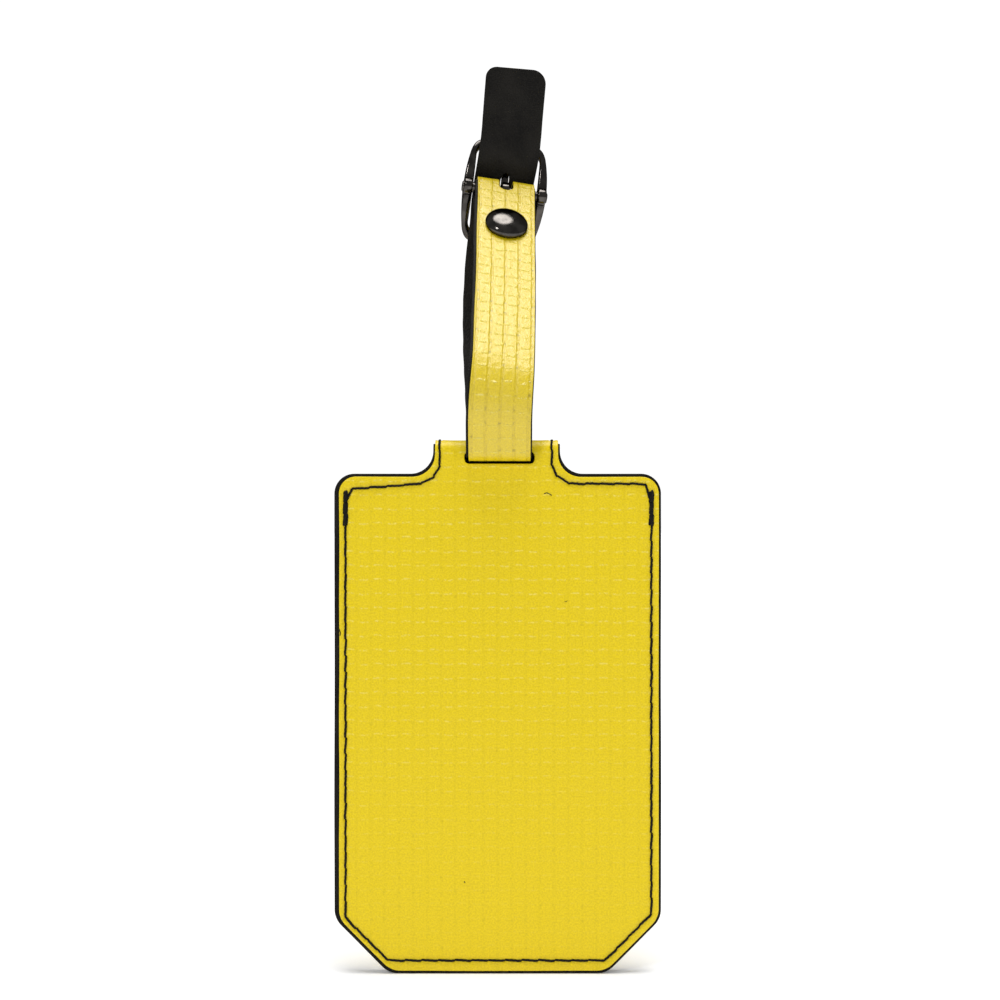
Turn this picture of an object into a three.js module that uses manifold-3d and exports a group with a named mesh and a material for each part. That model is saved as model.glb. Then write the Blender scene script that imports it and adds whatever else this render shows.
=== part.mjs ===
// A luggage tag. A tarpaulin panel hangs from its folded neck on a strap, with an address card in a clear
// pocket behind it and a hinged cover over the card. The strap's two ends meet in a centre-bar buckle.
// X runs across the tag, Y from its front to its back, and Z up.
import * as THREE from "three";
import { mergeVertices } from "three/addons/utils/BufferGeometryUtils.js";
import Module from "manifold-3d";

const wasm = await Module();
wasm.setup();

// Driving dimensions, in millimetres and degrees. Heights are over the tag's bottom edge, and y = 0 is
// halfway between the front panel and the cover.

// Sheet materials.
const TARP = 0.7;
const LINING = 0.45;
const PLY_GAP = 0.05; // between a tarpaulin and its lining
const CLEARANCE = 0.3; // round metal parts that touch something
const CLEAR_SHEET = 0.25;
const CARD_THICKNESS = 0.3;

// Tag body.
const BODY_WIDTH = 72;
const SHOULDER_Z = 110.1;
const SHOULDER_RADIUS = 4.4;
const CHAMFER = 12;
const CHAMFER_RADIUS = 5;
const CHAMFER_INSET = 1 - Math.SQRT1_2; // keeps a ply's margin even round the cut corners
const NECK_WIDTH = 27.9;
const NECK_X = -0.25;
const NECK_FILLET = 5;
const FOLD_Z = 115.3; // where the neck starts to turn over
const FOLD_RADIUS = 2.2; // outer face of the neck's fold, and of each panel from y = 0
const CREASE_Z = 111.3; // where the cover bends
const CREASE_GAP = 0.4;
const LINING_EDGE = { left: 0, right: 0, end: 0, neck: 0 };
const TARP_EDGE = { left: 1.1, right: 0.55, end: 0.7, neck: 0.4 };
const COVER_LINING_EDGE = { left: 0.3, right: 0.3, end: 0.2, neck: 0.2 };
const COVER_EDGE = { left: 0.9, right: 0.9, end: 0.9, neck: 0.6 };

// Strap slot in the neck.
const SLOT_WIDTH = 15.4;
const SLOT_LOW = 112.3;
const SLOT_HIGH = 114.9;

// Pocket and card.
const POCKET_TOP = 106.9;
const POCKET_EDGE = { left: 1.7, right: 1.7, end: 1.7, neck: 1.7 };
const CARD_ROOM_EDGE = 4.4;
const CARD_ROOM = 0.65; // depth of the pocket
const CARD_WIDTH = 55;
const CARD_HEIGHT = 85;
const CARD_Z = 14.5;
const CARD_RADIUS = 3;

// Sewing.
const THREAD = 0.5;
const THREAD_SUNK = 0.3;
const THREAD_PROUD = 0.15;
const GROOVE_ROOM = 0.1;
const SEAM = { left: -33.5, right: 33.8, low: 3, legLeft: 9.4, legRight: 10.2 };
const SEAM_TOP = 98.9; // where the bartacks start
const BARTACK_TOP = 106.4;
const BARTACK_WIDTH = 1.0;
const SHOULDER_SEAM_Z = 107.9; // at the neck
const SHOULDER_SEAM_DROP = { left: 1.2, right: 0.1 }; // how much lower it is at the bartacks
const NECK_SEAM = { left: -12.8, right: 11.9 };

// Strap. Its middle line runs between its two plies.
const STRAP_X = 0.4;
const STRAP_HALF = 6.8;
const STRAP_LINING_LEFT = 7.35;
const STRAP_LINING_RIGHT = 7.1;
const SLOT_RUN = 2.6;
const SLOT_BEND = 2.3;
const FRONT_RISE = 66; // how far the front strand turns up out of the slot
const BACK_RISE = 36;
const BULGE_RUN = 6.5;
const CREASE_RADIUS = 14;
const CREASE_TURN = 62;
const UPPER_CURVE = 260;
const UPPER_TURN = 7;
const UPPER_RUN = 28.3;
const WRAP_OVER = 16; // how far past a half turn the strap goes round the buckle's bar
const CLOSING_RADIUS = 5;
const RIVET_RUN = 12.5; // the strap's riveted end, from where it lies flat on the front strand
const STRAP_ROLL = 7.5; // the buckle's right side hangs lower
const STRAP_YAW = 7; // and stands further back
const EASE_PULL = 0.36; // how far the back strand keeps each end's heading, as a share of its span
const TAIL_LIFT = 12;
const TAIL_BEND = 30;
const TAIL_RUN = 9;
const TAIL_ROLL = 3.5; // the tail leans less than the buckle
const TIP_RADIUS = 2.9;
const HOLE_RADIUS = 1.75;
const HOLE_STRETCH = 1.4; // the holes are a little longer than wide
const PRONG_HOLE_Z = 3; // above the bar, up the frame
const HOLE_PITCH = 12;
const SPARE_HOLES = 3;
const PUNCH_DEPTH = 4;

// Buckle. In its own frame X runs along the bar, Z up the frame, and Y towards the loop's far side.
const BAR_RADIUS = 1.25;
const BAR_LENGTH = 20.6;
const BUCKLE_LEAN = 1;
const FRAME_HALF_LENGTH = 12.3;
const FRAME_HALF_WIDTH = 10.1;
const FRAME_END_HALF_WIDTH = 8;
const FRAME_THICKNESS = 1.8;
const FRAME_CORNER_RISE = 3;
const FRAME_CORNER_RUN = 2;
const FRAME_SHOULDER = 1; // how much wider the frame is at its corners' feet than its end bars
const FRAME_CORNER_PULL = 0.2;
const FRAME_SIDE_PULL = 0.3;
const FRAME_BOW = 3; // how far the frame's ends stand behind its bar
const WINDOW_HALF_WIDTH = 7.7;
const WINDOW_CORNER = 2;
const END_BAR = 2.3;
const BOSS_RADIUS = 2.2;
const BOSS_LENGTH = 2.1;
const TAIL_ROOM = 1.25; // between the tail and the frame's end bars
const PRONG_WIDTH = 1.8;
const PRONG_THICKNESS = 0.9;
const PRONG_EYE = 2.35;
const PRONG_LENGTH = 11.9;
const PRONG_ANGLE = 15.2;
const NOTCH_WIDTH = 3.4;
const NOTCH_RUN = 2.6;
const NOTCH_ROOM = 0.1; // the notch's cutter stops this far short of the tail

// Rivet.
const RIVET_FROM_BAR = 16.4;
const RIVET_CAP_RADIUS = 5;
const RIVET_DOME = 2.1;
const RIVET_RIM = 0.5;
const RIVET_BACK_RADIUS = 4.4;
const RIVET_BACK_DOME = 1.1;
const RIVET_POST_RADIUS = 1.4;
const RIVET_SEAT = 0.1; // between the rivet and the strap
const RIVET_SOCKET = 1.2;
const RIVET_HOLE = 1.2; // the rivet's hole over its post

// Where the loop takes a bag's handle. It is the finished part's origin.
const HANDLE = new THREE.Vector3(STRAP_X, 14, 148.9);

// Derived sizes.
const LINING_FACE = FOLD_RADIUS - TARP - PLY_GAP;
const INNER_FACE = LINING_FACE - LINING;
const TARP_INNER = PLY_GAP / 2;
const TARP_OUTER = TARP_INNER + TARP;
const LINING_INNER = -PLY_GAP / 2 - LINING;
const WRAP_RADIUS = BAR_RADIUS + CLEARANCE - LINING_INNER;
const SLOT_MIDDLE = new THREE.Vector3(STRAP_X, 0, (SLOT_LOW + SLOT_HIGH) / 2);
const BEYOND = 20; // how far a cutter reaches past what it cuts

// Solids.

function toSolid(geometry) {
  const bare = geometry.clone();
  bare.deleteAttribute("normal");
  bare.deleteAttribute("uv");
  const merged = mergeVertices(bare, 1e-4);
  const vertProperties = new Float32Array(merged.attributes.position.array);
  const triVerts = new Uint32Array(merged.index.array);
  return new wasm.Manifold(new wasm.Mesh({ numProp: 3, vertProperties, triVerts }));
}

function toGeometry(solid) {
  const { vertProperties, triVerts } = solid.getMesh();
  const shared = new THREE.BufferGeometry();
  shared.setAttribute("position", new THREE.BufferAttribute(new Float32Array(vertProperties), 3));
  shared.setIndex(new THREE.BufferAttribute(new Uint32Array(triVerts), 1));
  const geometry = shared.toNonIndexed();
  geometry.computeVertexNormals();
  return geometry;
}

// A closed outline through corners [x, y, radius], each rounded by an arc of its radius.
function roundedOutline(corners) {
  const shape = new THREE.Shape();
  const count = corners.length;
  corners.forEach(([x, y, radius], i) => {
    const corner = new THREE.Vector2(x, y);
    const back = new THREE.Vector2(...corners[(i + count - 1) % count]).sub(corner).normalize();
    const ahead = new THREE.Vector2(...corners[(i + 1) % count]).sub(corner).normalize();
    const half = Math.acos(back.dot(ahead)) / 2;
    const reach = radius / Math.tan(half);
    const start = corner.clone().addScaledVector(back, reach);
    if (i === 0) shape.moveTo(start.x, start.y);
    else shape.lineTo(start.x, start.y);
    if (radius === 0) return;
    const inward = back.clone().add(ahead).normalize();
    const centre = corner.clone().addScaledVector(inward, radius / Math.sin(half));
    const end = corner.clone().addScaledVector(ahead, reach);
    const clockwise = back.cross(ahead) > 0;
    const from = Math.atan2(start.y - centre.y, start.x - centre.x);
    const to = Math.atan2(end.y - centre.y, end.x - centre.x);
    shape.absarc(centre.x, centre.y, radius, from, to, clockwise);
  });
  shape.closePath();
  return shape;
}

// A front-view shape (x, z) run through the part from y = from to y = to.
function frontPrism(shape, from = -BEYOND, to = BEYOND, curveSegments = 3) {
  const geometry = new THREE.ExtrudeGeometry(shape, { depth: to - from, bevelEnabled: false, curveSegments });
  return toSolid(geometry.rotateX(Math.PI / 2).translate(0, to, 0));
}

// A side-view shape (y, z) run across the part from x = -halfWidth to x = halfWidth.
function sidePrism(shape, halfWidth, curveSegments = 4) {
  const settings = { depth: 2 * halfWidth, bevelEnabled: false, curveSegments };
  const geometry = new THREE.ExtrudeGeometry(shape, settings).translate(0, 0, -halfWidth);
  const yAxis = new THREE.Vector3(0, 1, 0);
  const zAxis = new THREE.Vector3(0, 0, 1);
  const xAxis = new THREE.Vector3(1, 0, 0);
  return toSolid(geometry.applyMatrix4(new THREE.Matrix4().makeBasis(yAxis, zAxis, xAxis)));
}

function box(x0, x1, y0, y1, z0, z1) {
  const geometry = new THREE.BoxGeometry(x1 - x0, y1 - y0, z1 - z0);
  return toSolid(geometry.translate((x0 + x1) / 2, (y0 + y1) / 2, (z0 + z1) / 2));
}

// A cylinder along X, through the middle of the buckle's frame.
function crossBar(radius, x0, x1, sides = 16) {
  const geometry = new THREE.CylinderGeometry(radius, radius, x1 - x0, sides);
  return toSolid(geometry.rotateZ(Math.PI / 2).translate((x0 + x1) / 2, 0, 0));
}

// Tag outlines.

function bodyOutline(edge) {
  const left = -BODY_WIDTH / 2 + edge.left;
  const right = BODY_WIDTH / 2 - edge.right;
  const low = edge.end;
  const shoulder = SHOULDER_Z - edge.end;
  const neckLeft = NECK_X - NECK_WIDTH / 2 + edge.neck;
  const neckRight = NECK_X + NECK_WIDTH / 2 - edge.neck;
  const leftCut = CHAMFER - CHAMFER_INSET * (edge.left + edge.end);
  const rightCut = CHAMFER - CHAMFER_INSET * (edge.right + edge.end);
  const above = FOLD_Z + BEYOND;
  return roundedOutline([
    [left + leftCut, low, CHAMFER_RADIUS],
    [right - rightCut, low, CHAMFER_RADIUS],
    [right, low + rightCut, CHAMFER_RADIUS],
    [right, shoulder, SHOULDER_RADIUS - edge.end],
    [neckRight, shoulder, NECK_FILLET],
    [neckRight, above, 0],
    [neckLeft, above, 0],
    [neckLeft, shoulder, NECK_FILLET],
    [left, shoulder, SHOULDER_RADIUS - edge.end],
    [left, low + leftCut, CHAMFER_RADIUS],
  ]);
}

// The front panel's side view: up the front, over the neck, and down the back as far as the crease.
function foldedProfile(outer, inner) {
  const rearFoot = CREASE_Z + CREASE_GAP / 2;
  const shape = new THREE.Shape();
  shape.moveTo(-outer, -BEYOND);
  shape.lineTo(-inner, -BEYOND);
  shape.lineTo(-inner, FOLD_Z);
  shape.absarc(0, FOLD_Z, inner, Math.PI, 0, true);
  shape.lineTo(inner, rearFoot);
  shape.lineTo(outer, rearFoot);
  shape.lineTo(outer, FOLD_Z);
  shape.absarc(0, FOLD_Z, outer, 0, Math.PI, false);
  return shape;
}

function foldedSheet(outer, inner) {
  return sidePrism(foldedProfile(outer, inner), BODY_WIDTH);
}

function rearSheet(outer, inner) {
  return box(-BODY_WIDTH, BODY_WIDTH, inner, outer, -BEYOND, CREASE_Z - CREASE_GAP / 2);
}

function strapSlot() {
  const half = SLOT_WIDTH / 2;
  return box(STRAP_X - half, STRAP_X + half, -BEYOND, BEYOND, SLOT_LOW, SLOT_HIGH);
}

// Sewing lines.

// A band of even width round corners [x, z], run through the part.
function band(corners, width) {
  const sides = [1, -1].map((side) =>
    corners.map(([x, z], i) => {
      const here = new THREE.Vector2(x, z);
      const before = new THREE.Vector2(...corners[Math.max(i - 1, 0)]);
      const after = new THREE.Vector2(...corners[Math.min(i + 1, corners.length - 1)]);
      const into = i ? here.clone().sub(before).normalize() : after.clone().sub(here).normalize();
      const out = after.equals(here) ? into.clone() : after.clone().sub(here).normalize();
      const mitre = into.clone().add(out).normalize();
      const spread = width / 2 / mitre.dot(into);
      return new THREE.Vector2(here.x - side * mitre.y * spread, here.y + side * mitre.x * spread);
    }),
  );
  return frontPrism(new THREE.Shape([...sides[0], ...sides[1].reverse()]));
}

function pocketSeamLine() {
  const { left, right, low, legLeft, legRight } = SEAM;
  return [
    [left, SEAM_TOP],
    [left, low + legLeft],
    [left + legLeft, low],
    [right - legRight, low],
    [right, low + legRight],
    [right, SEAM_TOP],
  ];
}

// From a bartack along the shoulder and up the neck. It goes on down the back of the neck by itself.
function shoulderSeamLine(side, neckX, foot = BARTACK_TOP + THREAD / 2) {
  const shoulderX = side < 0 ? SEAM.left : SEAM.right;
  const drop = side < 0 ? SHOULDER_SEAM_DROP.left : SHOULDER_SEAM_DROP.right;
  const turn = 1.4;
  return [
    [shoulderX, foot],
    [shoulderX - side * turn, SHOULDER_SEAM_Z - drop],
    [neckX + side * 4, SHOULDER_SEAM_Z],
    [neckX + side * 1.2, SHOULDER_SEAM_Z + 1.6],
    [neckX, SHOULDER_SEAM_Z + 4],
    [neckX, FOLD_Z + BEYOND],
  ];
}

function coverSeamLine() {
  const { left, right, low, legLeft, legRight } = SEAM;
  const rightShoulder = shoulderSeamLine(1, NECK_SEAM.right);
  const leftShoulder = shoulderSeamLine(-1, NECK_SEAM.left);
  return [
    ...leftShoulder.reverse(),
    [left, low + legLeft],
    [left + legLeft, low],
    [right - legRight, low],
    [right, low + legRight],
    ...rightShoulder,
  ];
}

function bartackLine(side) {
  const x = side < 0 ? SEAM.left : SEAM.right;
  return [
    [x, SEAM_TOP + PLY_GAP],
    [x, BARTACK_TOP - PLY_GAP],
  ];
}

function thread(corners, width, sheet) {
  const skin = sheet(FOLD_RADIUS + THREAD_PROUD, FOLD_RADIUS - THREAD_SUNK);
  return band(corners, width).intersect(skin);
}

function groove(corners, width, sheet) {
  const skin = sheet(FOLD_RADIUS + BEYOND, FOLD_RADIUS - THREAD_SUNK - GROOVE_ROOM);
  return band(corners, width + 2 * GROOVE_ROOM).intersect(skin);
}

// A sheet that reaches only the front of the tag.
function frontSheet(outer, inner) {
  return box(-BODY_WIDTH, BODY_WIDTH, -outer, -inner, -BEYOND, FOLD_Z + BEYOND);
}

// The strap's course.

function turnAbout(x, y, z, degrees) {
  const axis = new THREE.Vector3(x, y, z);
  return new THREE.Quaternion().setFromAxisAngle(axis, THREE.MathUtils.degToRad(degrees));
}

const UPPER_TWIST = turnAbout(0, 1, 0, STRAP_ROLL).multiply(turnAbout(0, 0, 1, STRAP_YAW));
const TAIL_TWIST = turnAbout(0, 1, 0, TAIL_ROLL).multiply(turnAbout(0, 0, 1, STRAP_YAW));

// Follows the strap's middle line in side view, where heading 0 runs back and 90 runs up. outerSide is the
// turn from the heading to the strap's outer face.
class StrapLine {
  constructor(start, heading, outerSide) {
    this.position = start.clone();
    this.heading = heading;
    this.outerSide = outerSide;
    this.twist = new THREE.Quaternion();
    this.stations = [];
    this.mark();
  }

  direction(degrees) {
    const angle = THREE.MathUtils.degToRad(degrees);
    return new THREE.Vector3(0, Math.cos(angle), Math.sin(angle)).applyQuaternion(this.twist);
  }

  mark(narrowing = 0) {
    const across = new THREE.Vector3(1, 0, 0).applyQuaternion(this.twist);
    const outward = this.direction(this.heading + this.outerSide);
    this.stations.push({ position: this.position.clone(), across, outward, narrowing });
  }

  straight(length, steps = 1) {
    for (let i = 0; i < steps; i++) {
      this.position.addScaledVector(this.direction(this.heading), length / steps);
      this.mark();
    }
    return this;
  }

  // Turns left by an angle, or right if it is negative, while the strap twists to a new frame.
  bend(radius, degrees, steps, twistTo = this.twist) {
    const from = this.twist.clone();
    const step = degrees / steps;
    const chord = 2 * radius * Math.sin(THREE.MathUtils.degToRad(Math.abs(step)) / 2);
    for (let i = 1; i <= steps; i++) {
      this.twist = from.clone().slerp(twistTo, i / steps);
      this.position.addScaledVector(this.direction(this.heading + step / 2), chord);
      this.heading += step;
      this.mark();
    }
    return this;
  }

  // Eases to a place and heading that are given in another frame.
  easeTo(end, endHeading, twistTo, steps) {
    const from = this.twist.clone();
    const startHeading = this.heading;
    const start = this.position.clone();
    const leave = this.direction(startHeading);
    this.twist = twistTo.clone();
    const arrive = this.direction(endHeading);
    const pull = start.distanceTo(end) * EASE_PULL;
    const controls = [
      start,
      start.clone().addScaledVector(leave, pull),
      end.clone().addScaledVector(arrive, -pull),
      end,
    ];
    const curve = new THREE.CubicBezierCurve3(...controls);
    for (let i = 1; i <= steps; i++) {
      const t = i / steps;
      this.twist = from.clone().slerp(twistTo, t);
      const run = curve.getTangent(t).applyQuaternion(this.twist.clone().invert());
      this.heading = THREE.MathUtils.radToDeg(Math.atan2(run.z, run.y));
      this.position.copy(curve.getPoint(t));
      this.mark();
    }
    return this;
  }

  // Rounds off the end, whose corners have this radius.
  tip(radius, steps = 4) {
    let gone = 0;
    for (let i = 1; i <= steps; i++) {
      const angle = ((Math.PI / 2) * i) / steps;
      const along = radius * Math.sin(angle);
      this.position.addScaledVector(this.direction(this.heading), along - gone);
      gone = along;
      this.mark(radius * (1 - Math.cos(angle)));
    }
    return this;
  }
}

// The front strand, from the slot up to the buckle's bar.
const frontLine = new StrapLine(SLOT_MIDDLE, 180, 90)
  .straight(SLOT_RUN)
  .bend(SLOT_BEND, -FRONT_RISE, 5)
  .straight(BULGE_RUN, 2)
  .bend(CREASE_RADIUS, -CREASE_TURN, 7, UPPER_TWIST)
  .bend(UPPER_CURVE, -UPPER_TURN, 3)
  .straight(UPPER_RUN, 2);

// The buckle's bar, which the strap's end then goes round before it closes on itself.
const barCentre = frontLine.position
  .clone()
  .addScaledVector(frontLine.direction(frontLine.heading - 90), WRAP_RADIUS);
const strandHeading = frontLine.heading;
const closingAngle = THREE.MathUtils.degToRad(WRAP_OVER);
const closedPitch = CLEARANCE - 2 * LINING_INNER;
const bendsDrop = (WRAP_RADIUS + CLOSING_RADIUS) * (1 - Math.cos(closingAngle));
const closingGap = 2 * WRAP_RADIUS - closedPitch - bendsDrop;
frontLine
  .bend(WRAP_RADIUS, -180 - WRAP_OVER, 12)
  .straight(closingGap / Math.sin(closingAngle))
  .bend(CLOSING_RADIUS, WRAP_OVER, 2)
  .straight(RIVET_RUN);

// The buckle's own frame.
const buckleTurn = UPPER_TWIST.clone().multiply(turnAbout(1, 0, 0, -BUCKLE_LEAN));
const inBuckle = (x, y, z) => new THREE.Vector3(x, y, z).applyQuaternion(buckleTurn).add(barCentre);

// The tail passes before the frame's end bars and behind the strap's fold.
const endBarZ = FRAME_HALF_LENGTH - END_BAR / 2;
const endBarFace = FRAME_BOW * (endBarZ / FRAME_HALF_LENGTH) ** 2 - FRAME_THICKNESS / 2;
const tailAtEnds = endBarFace - TAIL_ROOM - TARP_OUTER;
const tailAtBar = WRAP_RADIUS + TARP_OUTER + CLEARANCE - LINING_INNER;
const weaveAngle = 2 * Math.atan2((tailAtBar - tailAtEnds) / 2, endBarZ / 2);
const weaveTurn = THREE.MathUtils.radToDeg(weaveAngle);
const weaveRadius = endBarZ / 2 / Math.sin(weaveAngle);
const frameHeading = 90 - BUCKLE_LEAN;
const backLine = new StrapLine(SLOT_MIDDLE, 0, -90)
  .straight(SLOT_RUN)
  .bend(SLOT_BEND, BACK_RISE, 3)
  .easeTo(inBuckle(0, tailAtEnds, -endBarZ), frameHeading, UPPER_TWIST, 9)
  .bend(weaveRadius, -weaveTurn, 2)
  .bend(weaveRadius, weaveTurn, 2);
const barCrossing = backLine.stations.length - 1;
backLine
  .bend(weaveRadius, weaveTurn, 2)
  .bend(weaveRadius, -weaveTurn, 2)
  .bend(TAIL_BEND, TAIL_LIFT, 2, TAIL_TWIST)
  .straight(TAIL_RUN)
  .tip(TIP_RADIUS);

const strapStations = [...frontLine.stations.slice(1).reverse(), ...backLine.stations];

// A flat strip laid along the strap's stations, between two distances from its middle line.
function ribbon(stations, left, right, inner, outer) {
  const last = stations.length - 1;
  const geometry = new THREE.BoxGeometry(1, 1, last, 1, 1, last);
  const places = geometry.attributes.position;
  const point = new THREE.Vector3();
  for (let i = 0; i < places.count; i++) {
    const station = stations[Math.round(places.getZ(i) + last / 2)];
    const side = places.getX(i) < 0 ? station.narrowing - left : right - station.narrowing;
    const layer = places.getY(i) < 0 ? inner : outer;
    point.copy(station.position).addScaledVector(station.across, side);
    point.addScaledVector(station.outward, layer);
    places.setXYZ(i, point.x, point.y, point.z);
  }
  return toSolid(geometry);
}

// A cutter made about the buckle's bar, moved to where the buckle is.
function placedAt(geometry, position, turn) {
  const matrix = new THREE.Matrix4().compose(position, turn, new THREE.Vector3(1, 1, 1));
  return toSolid(geometry.applyMatrix4(matrix));
}

const strandTurn = UPPER_TWIST.clone().multiply(turnAbout(1, 0, 0, strandHeading));

// A place on the front strand: along runs down from the buckle's bar, and out stands off its outer face.
const onStrand = (along, out) =>
  new THREE.Vector3(0, -along, WRAP_RADIUS + out).applyQuaternion(strandTurn).add(barCentre);

// What is cut out of both plies: the prong's notch, the rivet's hole and the tail's holes.
function strapCuts() {
  const cuts = [...notchCuts(), rivetHole(), prongHole()];
  for (let i = 1; i <= SPARE_HOLES; i++) cuts.push(spareHole(HOLE_PITCH * i - PRONG_HOLE_Z));
  return cuts;
}

// The notch goes all the way round the fold, and a little way down the front strand.
function notchCuts() {
  const foldRadius = tailAtBar + LINING_INNER - NOTCH_ROOM;
  const disc = new THREE.CylinderGeometry(foldRadius, foldRadius, NOTCH_WIDTH, 24).rotateZ(Math.PI / 2);
  const end = new THREE.CylinderGeometry(NOTCH_WIDTH / 2, NOTCH_WIDTH / 2, PUNCH_DEPTH, 12);
  const run = NOTCH_RUN - NOTCH_WIDTH / 2;
  return [
    placedAt(disc, barCentre, buckleTurn),
    placedAt(new THREE.BoxGeometry(NOTCH_WIDTH, run, PUNCH_DEPTH), onStrand(run / 2, 0), strandTurn),
    placedAt(end.rotateX(Math.PI / 2), onStrand(run, 0), strandTurn),
  ];
}

function rivetHole() {
  const radius = RIVET_POST_RADIUS * RIVET_HOLE;
  const punch = new THREE.CylinderGeometry(radius, radius, 2 * PUNCH_DEPTH, 12).rotateX(Math.PI / 2);
  return placedAt(punch, onStrand(RIVET_FROM_BAR, -PUNCH_DEPTH / 2), strandTurn);
}

const tailPunch = () =>
  new THREE.CylinderGeometry(HOLE_RADIUS, HOLE_RADIUS, PUNCH_DEPTH, 12).scale(1, 1, HOLE_STRETCH);

function prongHole() {
  return placedAt(tailPunch(), inBuckle(0, tailAtBar, PRONG_HOLE_Z), buckleTurn);
}

// A hole this far down the back strand from where it passes the buckle's bar.
function spareHole(length) {
  const stations = backLine.stations;
  const run = (i) => stations[i].position.distanceTo(stations[i - 1].position);
  let i = barCrossing;
  let left = length;
  while (left > run(i)) {
    left -= run(i);
    i -= 1;
  }
  const { position, across, outward } = stations[i];
  const place = position.clone().lerp(stations[i - 1].position, left / run(i));
  const axes = new THREE.Matrix4().makeBasis(across, outward, across.clone().cross(outward));
  return placedAt(tailPunch(), place, new THREE.Quaternion().setFromRotationMatrix(axes));
}

function strapPly(left, right, inner, outer) {
  const strip = ribbon(strapStations, left, right, inner, outer);
  return strapCuts().reduce((solid, cut) => solid.subtract(cut), strip);
}

// The tag.

function finish(color, roughness, metalness = 0) {
  return new THREE.MeshStandardMaterial({ color, roughness, metalness });
}

function piece(name, solid, material) {
  const mesh = new THREE.Mesh(toGeometry(solid), material);
  mesh.name = name;
  return mesh;
}

const tarpFinish = () => finish(0xdcc814, 0.4);
const liningFinish = () => finish(0x1a1815, 0.7);
const threadFinish = () => finish(0x141210, 0.8);
const gunmetal = () => finish(0x2c2a2b, 0.22, 1);

const pocketSeam = pocketSeamLine();
const shoulderSeams = [shoulderSeamLine(-1, NECK_SEAM.left), shoulderSeamLine(1, NECK_SEAM.right)];
const bartacks = [bartackLine(-1), bartackLine(1)];

function frontPanel() {
  let panel = foldedSheet(FOLD_RADIUS, FOLD_RADIUS - TARP).intersect(frontPrism(bodyOutline(TARP_EDGE)));
  panel = panel.subtract(strapSlot()).subtract(groove(pocketSeam, THREAD, frontSheet));
  for (const line of bartacks) panel = panel.subtract(groove(line, BARTACK_WIDTH, frontSheet));
  for (const line of shoulderSeams) panel = panel.subtract(groove(line, THREAD, foldedSheet));
  return panel;
}

function frontLining() {
  const sheet = foldedSheet(LINING_FACE, INNER_FACE);
  return sheet.intersect(frontPrism(bodyOutline(LINING_EDGE))).subtract(strapSlot());
}

// Where the card goes, which is open at the top.
function cardRoomOutline() {
  const half = BODY_WIDTH / 2 - CARD_ROOM_EDGE;
  const low = CARD_ROOM_EDGE;
  const above = POCKET_TOP + BEYOND;
  return roundedOutline([
    [-half + CHAMFER, low, CHAMFER_RADIUS],
    [half - CHAMFER, low, CHAMFER_RADIUS],
    [half, low + CHAMFER, CHAMFER_RADIUS],
    [half, above, 0],
    [-half, above, 0],
    [-half, low + CHAMFER, CHAMFER_RADIUS],
  ]);
}

// A clear sheet with a raised middle. Its rim lies on the lining.
function pocketWindow() {
  const rim = -INNER_FACE + PLY_GAP;
  const face = rim + CARD_ROOM + CLEAR_SHEET;
  const below = box(-BODY_WIDTH, BODY_WIDTH, -BEYOND, BEYOND, -BEYOND, POCKET_TOP);
  const tray = frontPrism(bodyOutline(POCKET_EDGE), rim, face).intersect(below);
  return tray.subtract(frontPrism(cardRoomOutline(), rim - CARD_ROOM, rim + CARD_ROOM));
}

function addressCard() {
  const half = CARD_WIDTH / 2;
  const back = -INNER_FACE + PLY_GAP + (CARD_ROOM - CARD_THICKNESS) / 2;
  const outline = roundedOutline([
    [-half, CARD_Z, CARD_RADIUS],
    [half, CARD_Z, CARD_RADIUS],
    [half, CARD_Z + CARD_HEIGHT, CARD_RADIUS],
    [-half, CARD_Z + CARD_HEIGHT, CARD_RADIUS],
  ]);
  return frontPrism(outline, back, back + CARD_THICKNESS);
}

function coverPanel() {
  const sheet = rearSheet(FOLD_RADIUS, FOLD_RADIUS - TARP);
  const panel = sheet.intersect(frontPrism(bodyOutline(COVER_EDGE)));
  return panel.subtract(groove(coverSeamLine(), THREAD, rearSheet));
}

function coverLining() {
  return rearSheet(LINING_FACE, INNER_FACE).intersect(frontPrism(bodyOutline(COVER_LINING_EDGE)));
}

const tag = new THREE.Group();
tag.add(
  piece("front_panel", frontPanel(), tarpFinish()),
  piece("front_lining", frontLining(), liningFinish()),
  piece("pocket_window", pocketWindow(), finish(0xdfe6e8, 0.1)),
  piece("address_card", addressCard(), finish(0xf4f1e8, 0.8)),
  piece("pocket_seam", thread(pocketSeam, THREAD, frontSheet), threadFinish()),
  piece("shoulder_seam_left", thread(shoulderSeams[0], THREAD, foldedSheet), threadFinish()),
  piece("shoulder_seam_right", thread(shoulderSeams[1], THREAD, foldedSheet), threadFinish()),
  piece("bartack_left", thread(bartacks[0], BARTACK_WIDTH, frontSheet), threadFinish()),
  piece("bartack_right", thread(bartacks[1], BARTACK_WIDTH, frontSheet), threadFinish()),
  piece("cover_panel", coverPanel(), tarpFinish()),
  piece("cover_lining", coverLining(), liningFinish()),
  piece("cover_seam", thread(coverSeamLine(), THREAD, rearSheet), threadFinish()),
);

// The strap.

const strap = new THREE.Group();
strap.add(
  piece("strap_face", strapPly(STRAP_HALF, STRAP_HALF, TARP_INNER, TARP_OUTER), tarpFinish()),
  piece(
    "strap_lining",
    strapPly(STRAP_LINING_LEFT, STRAP_LINING_RIGHT, LINING_INNER, -TARP_INNER),
    liningFinish(),
  ),
);

// The buckle.

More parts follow.
